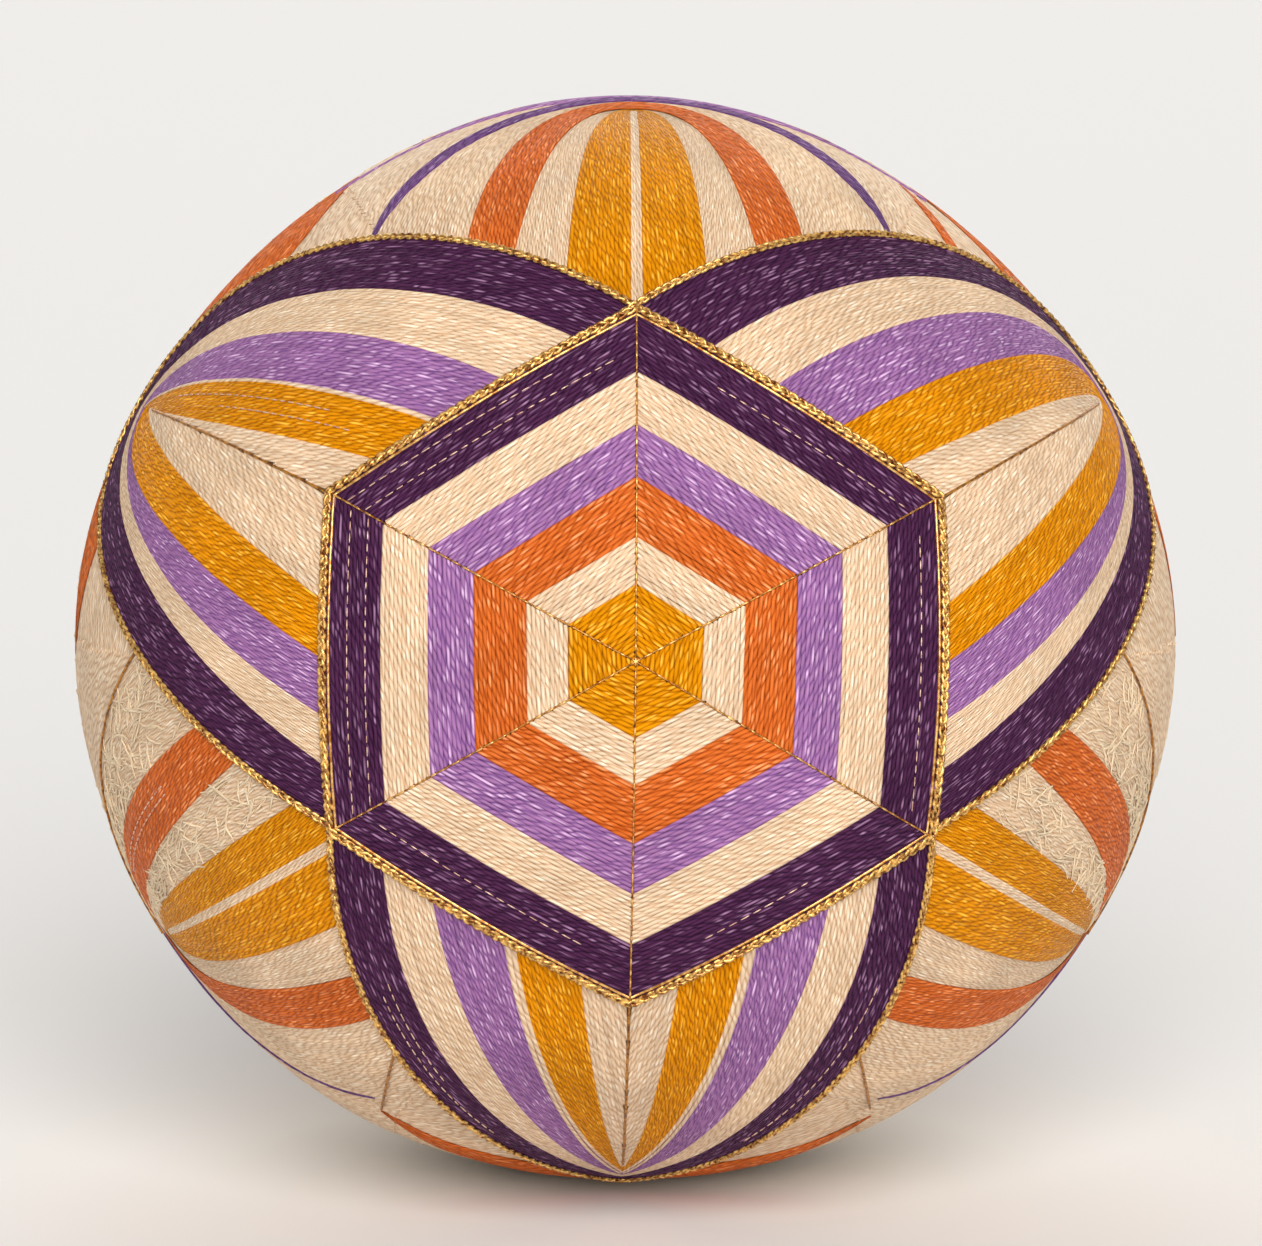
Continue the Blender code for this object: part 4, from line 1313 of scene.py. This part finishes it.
def build_spindle(spindle, flat_map, petals, lift, nodes):
    """A spindle's gold and orange, and the cream beside them."""
    spacing = spacing_on(flat_map)
    scale = flat_map.scale
    clearance = off_petals(petals, -SPINDLE_TUCK)
    for colour, outer, inner in (("gold", "gold", "line"), ("orange", "orange", "cream")):
        outers = [spindle_border(spindle, outer, side) for side in (-1, 1)]
        inners = [spindle_border(spindle, inner, side) for side in (-1, 1)]
        rows = band_rows(outers, inners, clearance, spacing, scale)
        lay(f"{spindle[0]}_{colour}_rows", rows, flat_map, lift, colour, node=nodes.get(colour))
    rows = []
    for side in (-1, 1):
        border = SPINDLE_BORDERS[spindle[2] if side < 0 else spindle[3]]["line"]

        def axis(turn):
            return seat_on_axis((along_axis(border, turn)[0], 0.0), side, spindle[1])

        rows += band_rows([spindle_border(spindle, "line", side)], [axis], clearance, spacing, scale)
    lay(f"{spindle[0]}_line_rows", rows, flat_map, OUTLINE_LIFT, "cream")
    for side, half in HALVES:
        rows = []
        for names in (("cream", "gold"), ("outline", "orange")):
            outer, inner = (spindle_border(spindle, name, side) for name in names)
            rows += band_rows([outer], [inner], clearance, spacing, scale)
        lay(f"{spindle[0]}_cream_{half}", rows, flat_map, SPINDLE_CREAM_LIFT, "cream", hand=float(side))


def outline_rows(spindle, side, width, count, petals):
    """Rows that lie on the outline of one half of a spindle."""
    curve = spindle_border(spindle, "outline", side)
    return line_rows(curve, width, count, off_petals(petals, -SPINDLE_TUCK), taper=0.2)


def band_line(a, b, share, start, end):
    """Map points along a band between two borders, from one turn to another."""
    return [mix(a(turn), b(turn), share)
            for turn in (start + (end - start) * i / BAND_STEPS for i in range(BAND_STEPS + 1))]


def build_braid(name, rows, flat_map, lift, node, cyclic=False):
    """A couched flat plait of metallic thread along a row of map points."""
    sizes = bpy.context.scene.temari_braid
    guides = map_curves(name, rows, flat_map, lift)
    guides.data.splines[0].use_cyclic_u = cyclic
    item = grow(name, guides, "plait", {
        "Step": sizes.step, "Pitch": sizes.pitch, "Half Width": sizes.half_width, "Rise": sizes.rise,
        "Strand Radius": sizes.strand_radius, "Material": metal_material("gilt_braid"),
    })
    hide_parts(node)
    return item


def tapered(path):
    """A row for the braid along a path, thinner towards its middle, which is the petal's tip."""
    last = len(path) - 1
    return [(point, BRAID_FULL - BRAID_TIP_LESS * math.sin(math.pi * i / last) ** 4)
            for i, point in enumerate(path)]


def lay_metal(name, rows, flat_map, lift):
    """A straight metallic thread along rows of map points."""
    width, metal = METAL_THREADS[name]
    rows = [[(point, width / 2 * MM) for point in row] for row in rows]
    item = grow(name, map_curves(name, rows, flat_map, lift), "threads", {
        **METAL_SHAPE, "Seed": float(len(name)), "Material": metal_material(metal),
    })
    return item


def guide_rays(corners):
    """Map points from the middle of the hexagon to each of its corners."""
    return [straight((0.0, 0.0), polar(CORNER_REACH, azimuth), RAY_STEPS) for azimuth in corners]


def hexagon_round(corners, reach):
    """Map points round the hexagon at a reach of its corners."""
    ring = [polar(reach, azimuth) for azimuth in corners]
    path = []
    for a, b in zip(ring, ring[1:] + ring[:1]):
        path += [mix(a, b, i / SIDE_STEPS) for i in range(SIDE_STEPS)]
    return path


def petal_round(petal, corners):
    """Map points round a petal's edge, from one side of the hexagon to the other."""
    path = []
    for side in (-1, 1):
        curve = petal_border(petal, "edge", side)
        start = find_start(curve, off_hexagon(corners, -BRAID_TUCK))
        arm = [curve(start + (90.0 - start) * i / PETAL_STEPS) for i in range(PETAL_STEPS + 1)]
        path += arm if side < 0 else arm[-2::-1]
    return path


def stitches(name, rows, flat_map, lift):
    """Running stitches along rows of map points."""
    pitch, length, radius, metal = STITCHES[name]
    rows = [[(point, 1.0) for point in row] for row in rows]
    item = grow(name, map_curves(name, rows, flat_map, lift), "stitches", {
        "Pitch": pitch * MM, "Stitch Length": length * MM, "Radius": radius * MM, "Seed": len(name),
        "Material": metal_material(metal),
    })
    return item


def axis_rows(petals):
    """Map points along each petal's axis, from the hexagon to its tip."""
    axes = []
    for _, azimuth, lean, clockwise, _ in petals:
        length = PETAL_BORDERS[clockwise]["gold"][3] - AXIS_SHORT - CORNER_REACH
        reaches = (CORNER_REACH + length * i / AXIS_STEPS for i in range(AXIS_STEPS + 1))
        axes.append([seat_on_axis((reach, 0.0), 1, azimuth, lean) for reach in reaches])
    return axes


def straight(a, b, steps=12):
    """Map points on a straight line."""
    return [mix(a, b, i / steps) for i in range(steps + 1)]


def length_property(label, description, default, least=0.0, precision=5):
    """A length in the panel, in metres."""
    return bpy.props.FloatProperty(name=label, description=description, default=default, min=least,
                                   unit="LENGTH", precision=precision)


def count_property(label, description, default, least, most):
    """A whole number in the panel."""
    return bpy.props.IntProperty(name=label, description=description, default=default, min=least,
                                 max=most)


class ThreadSizes(bpy.types.PropertyGroup):
    """Sizes of the laid thread."""

    spacing: length_property("Spacing", "From one row to the next", 0.00037, 0.0001)
    plain_spacing: length_property("Plain Spacing", "The same for the ground and the back",
                                   0.00041, 0.0001)
    flatness: bpy.props.FloatProperty(name="Flatness", default=0.6, min=0.1, max=1.0, subtype="FACTOR",
                                      description="Height of a laid thread over its width")
    overlap: bpy.props.FloatProperty(name="Overlap", description="Width of a thread over its spacing",
                                     default=1.15, min=0.5, max=2.0)
    sides: count_property("Sides", "Sides of a thread's section", 6, 4, 12)
    plain_sides: count_property("Plain Sides", "The same for the ground and the back", 5, 4, 12)
    wobble: length_property("Wobble", "How far a hand-laid row strays", 0.00012)
    wobble_length: length_property("Wobble Length", "How fast it strays", 0.005, 0.001, 4)
    winding_turns: count_property("Winding Turns", "Turns of the winding thread", 480, 0, 800)
    winding_width: length_property("Winding Width", "Width of the winding thread", 0.00042, 0.0001)


class BraidSizes(bpy.types.PropertyGroup):
    """Sizes of the couched metallic braid."""

    step: length_property("Step", "Length of a straight piece of a strand", 0.00027, 0.0001)
    pitch: length_property("Pitch", "Length over which the plait repeats", 0.0026, 0.0005, 4)
    half_width: length_property("Half Width", "How far a strand sways", 0.00026)
    rise: length_property("Rise", "How far a strand climbs over the others", 0.0001)
    strand_radius: length_property("Strand Radius", "Radius of one strand", 0.00016, 0.00005)


def colour_property(label, hex_colour):
    """A colour in the panel, from its sRGB hex value."""
    return bpy.props.FloatVectorProperty(name=label, description=label + " of the thread", subtype="COLOR",
                                         size=3, min=0.0, max=1.0, default=linear(hex_colour))


class TemariColours(bpy.types.PropertyGroup):
    """Colours of the threads: the crown of a ply, the painted shade of the line between plies, a bright
    dash of painted highlight, and the painted shade of the gaps in the ground's mat.
    """

    cream: colour_property("Cream", "#EACFB0")
    cream_shade: colour_property("Cream shade", "#C9A07A")
    cream_painted_highlight: colour_property("Cream dash", "#FFF3DC")
    gold: colour_property("Gold", "#E2920A")
    gold_shade: colour_property("Gold shade", "#A35A00")
    gold_painted_highlight: colour_property("Gold dash", "#FFC648")
    orange: colour_property("Orange", "#D76D2C")
    orange_shade: colour_property("Orange shade", "#A0400E")
    orange_painted_highlight: colour_property("Orange dash", "#FFAC72")
    lilac: colour_property("Lilac", "#A473A8")
    lilac_shade: colour_property("Lilac shade", "#6C4380")
    lilac_painted_highlight: colour_property("Lilac dash", "#E6C2EA")
    purple: colour_property("Purple", "#4C2648")
    purple_shade: colour_property("Purple shade", "#260F29")
    purple_painted_highlight: colour_property("Purple dash", "#B58AB2")
    violet: colour_property("Violet", "#71497F")
    violet_shade: colour_property("Violet shade", "#452A5B")
    violet_painted_highlight: colour_property("Violet dash", "#C2A4CF")
    ground: colour_property("Ground", "#F5E0C0")
    ground_shade: colour_property("Ground shade", "#DDB98F")
    ground_gap_painted_shading: colour_property("Ground gap", "#B99468")
    ground_painted_highlight: colour_property("Ground dash", "#FFF2DC")


class TEMARI_OT_wound_ball(bpy.types.Operator):
    """Make the wound ball and its winding thread"""

    bl_idname = "temari.wound_ball"
    bl_label = "Wound Ball"

    def execute(self, context):
        rng = random.Random(5)
        build_ground()
        build_winding(rng)
        build_field(rng)
        return {"FINISHED"}


class TEMARI_OT_hexagon(bpy.types.Operator):
    """Lay the hexagon's rounds of thread"""

    bl_idname = "temari.hexagon"
    bl_label = "Hexagon"

    def execute(self, context):
        build_hexagon()
        return {"FINISHED"}


class TEMARI_OT_petals(bpy.types.Operator):
    """Lay the three broad petals"""

    bl_idname = "temari.petals"
    bl_label = "Petals"

    def execute(self, context):
        for petal in PETALS:
            bands = ("purple", "cream", "lilac", "gold", "heart")
            nodes = {colour: f"{petal[0]}_{colour}" for colour in bands}
            build_petal(petal, FRONT, CORNERS, PETAL_LIFT, nodes)
        return {"FINISHED"}


class TEMARI_OT_spindles(bpy.types.Operator):
    """Lay the three narrow spindles and the bands near the ball's edge"""

    bl_idname = "temari.spindles"
    bl_label = "Spindles"

    def execute(self, context):
        spacing = context.scene.temari_threads.spacing / MM
        for name, colour, inner, outer in EDGE_BANDS:
            rows = edge_rows(inner, outer, spacing)
            rows = trimmed(rows, lambda point: under_petals(point) < HIDDEN)
            lay(name, rows, FRONT, RIM_LIFT, colour)
        for spindle in SPINDLES:
            nodes = {colour: f"{spindle[0]}_{colour}" for colour in ("gold", "orange")}
            build_spindle(spindle, FRONT, PETALS, SPINDLE_LIFT, nodes)
        outlines = outline_rows(SPINDLES[0], -1, *TOP_OUTLINE, PETALS)
        outlines += outline_rows(SPINDLES[0], 1, *TOP_OUTLINE, PETALS)
        low = outline_rows(SPINDLES[1], 1, *LOW_OUTLINE_ROWS, PETALS)
        low += outline_rows(SPINDLES[2], -1, *LOW_OUTLINE_ROWS, PETALS)
        outlines += trimmed(low, lambda point: within_sector(point, SPINDLES[1][1], LOW_OUTLINE)
                            or within_sector(point, SPINDLES[2][1], LOW_OUTLINE))
        lay("outline_rows", outlines, FRONT, OUTLINE_LIFT, "violet", slot_name="purple_thread")
        return {"FINISHED"}


class TEMARI_OT_braids(bpy.types.Operator):
    """Couch the metallic braid round the hexagon and the petals"""

    bl_idname = "temari.braids"
    bl_label = "Braids"

    def execute(self, context):
        path = hexagon_round(CORNERS, CORNER_REACH)
        build_braid("couched_hexagon", [[(p, 1.0) for p in path]], FRONT, HEXAGON_BRAID_LIFT,
                    "braid_hexagon", cyclic=True)
        edging = hexagon_round(CORNERS, CORNER_REACH - EDGING_INSET)
        edging.append(edging[0])
        lay_metal("hexagon_edging", [edging], FRONT, HEXAGON_LIFT + EDGING_RISE)
        for petal in PETALS:
            name = petal[0].replace("petal", "couched_petal")
            build_braid(name, [tapered(petal_round(petal, CORNERS))], FRONT, PETAL_BRAID_LIFT,
                        "braid_" + petal[0])
        return {"FINISHED"}


class TEMARI_OT_guides(bpy.types.Operator):
    """Sew the guide stitches and the pale metallic rows"""

    bl_idname = "temari.guides"
    bl_label = "Guide Stitches"

    def execute(self, context):
        rays = guide_rays(CORNERS)
        lay_metal("guide_threads", rays, FRONT, HEXAGON_LIFT + GUIDE_RISE)
        stitches("guide_stitches", rays, FRONT, HEXAGON_LIFT + STITCH_RISE)
        rows = []
        for side, reach, start, end in METAL_ROWS:
            a, b = polar(reach, CORNERS[side]), polar(reach, CORNERS[(side + 1) % 6])
            rows.append(straight(mix(a, b, start), mix(a, b, end), 16))
        stitches("metallic_rows", rows, FRONT, HEXAGON_LIFT + METAL_RISE)
        rows = []
        for number, side, outer, inner, share, start, end in METAL_BAND_LINES:
            borders = (petal_border(PETALS[number], name, side) for name in (outer, inner))
            rows.append(band_line(*borders, share, start, end))
        for share, start, end in METAL_SPINDLE_LINES:
            borders = (spindle_border(SPINDLES[1], name, -1) for name in ("orange", "cream"))
            rows.append(band_line(*borders, share, start, end))
        stitches("metallic_band_rows", rows, FRONT, PETAL_LIFT + AXIS_RISE)
        lay_metal("petal_axes", axis_rows(PETALS), FRONT, PETAL_LIFT + AXIS_RISE)
        guides = [straight(polar(*start), polar(*end)) for start, end in GROUND_GUIDES]
        for spindle, side in ((SPINDLES[1], -1), (SPINDLES[2], 1)):
            rows = outline_rows(spindle, side, *LOW_GUIDE_ROWS, PETALS)
            guides += [[point for point, _ in row] for row in rows]
        lay_metal("ground_guides", guides, FRONT, SPINDLE_LIFT + AXIS_RISE)
        return {"FINISHED"}


class TEMARI_OT_back(bpy.types.Operator):
    """Lay the plain back motif"""

    bl_idname = "temari.back"
    bl_label = "Back"

    def execute(self, context):
        spacing = context.scene.temari_threads.plain_spacing / MM
        rng = random.Random(17)
        for name, inner, outer, colour in HEXAGON_RINGS:
            rows = []
            for side in range(6):
                rows += side_rows(BACK_CORNERS, side, inner, outer, spacing, BACK_SCALE, rng)
            node = "back_hexagon" if colour == "purple" else None
            lay("back_" + name, rows, BACK, HEXAGON_LIFT, colour, node=node)
        for petal in BACK_PETALS:
            build_petal(petal, BACK, BACK_CORNERS, PETAL_LIFT, {"lilac": petal[0]})
            name = petal[0].replace("petal", "couched_petal")
            node = petal[0].replace("petal", "braid_petal")
            build_braid(name, [tapered(petal_round(petal, BACK_CORNERS))], BACK, PETAL_BRAID_LIFT, node)
        for spindle in BACK_SPINDLES:
            build_spindle(spindle, BACK, BACK_PETALS, SPINDLE_LIFT, {"orange": spindle[0]})
        outlines = []
        for spindle in BACK_SPINDLES:
            for side in (-1, 1):
                outlines += outline_rows(spindle, side, *BACK_OUTLINE, BACK_PETALS)
        lay("back_outline_rows", outlines, BACK, OUTLINE_LIFT, "violet", slot_name="purple_thread")
        lay_metal("back_petal_axes", axis_rows(BACK_PETALS), BACK, PETAL_LIFT + AXIS_RISE)
        path = hexagon_round(BACK_CORNERS, CORNER_REACH)
        build_braid("back_couched_hexagon", [[(p, 1.0) for p in path]], BACK,
                    HEXAGON_BRAID_LIFT, "back_braid_hexagon", cyclic=True)
        stitches("back_guide_stitches", guide_rays(BACK_CORNERS), BACK, HEXAGON_LIFT + GUIDE_RISE)
        return {"FINISHED"}


FLOOR_RADIUS = 6.0             # m
FLOOR_SIDES = 64
FLOOR_HEIGHT = -0.0002         # m, so that the lowest threads stay clear of it
PAPER_COLOUR = (0.86, 0.86, 0.86, 1.0)
PAPER_ROUGHNESS = 0.9
SKY_COLOUR = (1.0, 0.985, 0.96, 1.0)
WORLD_STRENGTH = 0.27
LIGHTS = (
    # name, degrees to the right of the front, degrees up, strength, spread in degrees, colour
    ("large_softbox", 5.0, 29.0, 3.2, 45.0, (1.0, 0.97, 0.935)),
    ("back_softbox", 180.0, 22.0, 1.6, 60.0, (1.0, 0.98, 0.95)),
)
CAMERA_UP = 8.0                # degrees above the horizontal
CAMERA_DISTANCE = 0.4775       # from the ball's middle, ten radii
LENS = 154.3
SENSOR = 36.0
CENTRE_PIXEL = (625.2, 643.6)  # where the ball's middle shows in the photograph
PHOTO_SIZE = (1262, 1246)


class TEMARI_OT_stage(bpy.types.Operator):
    """Set up the floor, the lights and the camera"""

    bl_idname = "temari.stage"
    bl_label = "Stage"

    def execute(self, context):
        scene = context.scene
        mesh = bpy.data.meshes.new("floor")
        turns = [math.tau * k / FLOOR_SIDES for k in range(FLOOR_SIDES)]
        rim = [(FLOOR_RADIUS * math.cos(turn), FLOOR_RADIUS * math.sin(turn), FLOOR_HEIGHT)
               for turn in turns]
        mesh.from_pydata(rim, [], [tuple(range(FLOOR_SIDES))])
        paper = bpy.data.materials.new("pale_paper")
        paper.use_nodes = True
        shader = paper.node_tree.nodes["Principled BSDF"].inputs
        shader["Base Color"].default_value = PAPER_COLOUR
        shader["Roughness"].default_value = PAPER_ROUGHNESS
        mesh.materials.append(paper)
        floor = bpy.data.objects.new("floor", mesh)
        scene.collection.objects.link(floor)
        for name, aside, above, strength, spread, colour in LIGHTS:
            light = bpy.data.lights.new(name, "SUN")
            light.angle = math.radians(spread)
            light.energy = strength
            light.color = colour
            side, up = math.radians(aside), math.radians(above)
            source = Vector((math.sin(side) * math.cos(up), -math.cos(side) * math.cos(up), math.sin(up)))
            item = bpy.data.objects.new(name, light)
            item.location = source
            item.rotation_euler = source.to_track_quat("Z", "Y").to_euler()
            scene.collection.objects.link(item)
        world = bpy.data.worlds.new("studio")
        world.use_nodes = True
        sky = world.node_tree.nodes["Background"].inputs
        sky["Color"].default_value = SKY_COLOUR
        sky["Strength"].default_value = WORLD_STRENGTH
        scene.world = world
        scene.view_settings.view_transform = "Standard"
        camera = bpy.data.cameras.new("camera")
        camera.lens = LENS
        camera.sensor_width = SENSOR
        camera.shift_x = (PHOTO_SIZE[0] / 2 - CENTRE_PIXEL[0]) / PHOTO_SIZE[0]
        camera.shift_y = (CENTRE_PIXEL[1] - PHOTO_SIZE[1] / 2) / PHOTO_SIZE[0]
        camera.clip_start = 0.01
        camera.clip_end = 20.0
        item = bpy.data.objects.new("camera", camera)
        up = math.radians(CAMERA_UP)
        back = Vector((0.0, -math.cos(up), math.sin(up)))
        item.location = CENTRE + back * CAMERA_DISTANCE
        item.rotation_euler = (-back).to_track_quat("-Z", "Y").to_euler()
        scene.collection.objects.link(item)
        scene.camera = item
        return {"FINISHED"}


class TEMARI_PT_panel(bpy.types.Panel):
    """The temari panel in the 3D view's sidebar"""

    bl_idname = "TEMARI_PT_panel"
    bl_label = "Temari Ball"
    bl_space_type = "VIEW_3D"
    bl_region_type = "UI"
    bl_category = "Temari"

    def draw(self, context):
        layout = self.layout
        for name in GROUPS:
            group = getattr(context.scene, name)
            box = layout.box()
            for key in group.bl_rna.properties.keys():
                if key not in {"rna_type", "name"}:
                    box.prop(group, key)
        for operator in OPERATORS:
            layout.operator(operator.bl_idname)


OPERATORS = (TEMARI_OT_wound_ball, TEMARI_OT_hexagon, TEMARI_OT_petals, TEMARI_OT_spindles,
             TEMARI_OT_braids, TEMARI_OT_guides, TEMARI_OT_back, TEMARI_OT_stage)
GROUPS = {"temari_threads": ThreadSizes, "temari_braid": BraidSizes, "temari_colours": TemariColours}


def register():
    """Register the classes and hang the sizes on the scene."""
    for item in (*GROUPS.values(), *OPERATORS, TEMARI_PT_panel):
        bpy.utils.register_class(item)
    for key, group in GROUPS.items():
        setattr(bpy.types.Scene, key, bpy.props.PointerProperty(type=group))


def unregister():
    """Take the sizes off the scene and unregister the classes."""
    for key in GROUPS:
        delattr(bpy.types.Scene, key)
    for item in reversed((*GROUPS.values(), *OPERATORS, TEMARI_PT_panel)):
        bpy.utils.unregister_class(item)


def main():
    """Make the whole ball and its stage."""
    register()
    for operator in OPERATORS:
        area, name = operator.bl_idname.split(".")
        getattr(getattr(bpy.ops, area), name)()


if __name__ == "__main__":
    main()
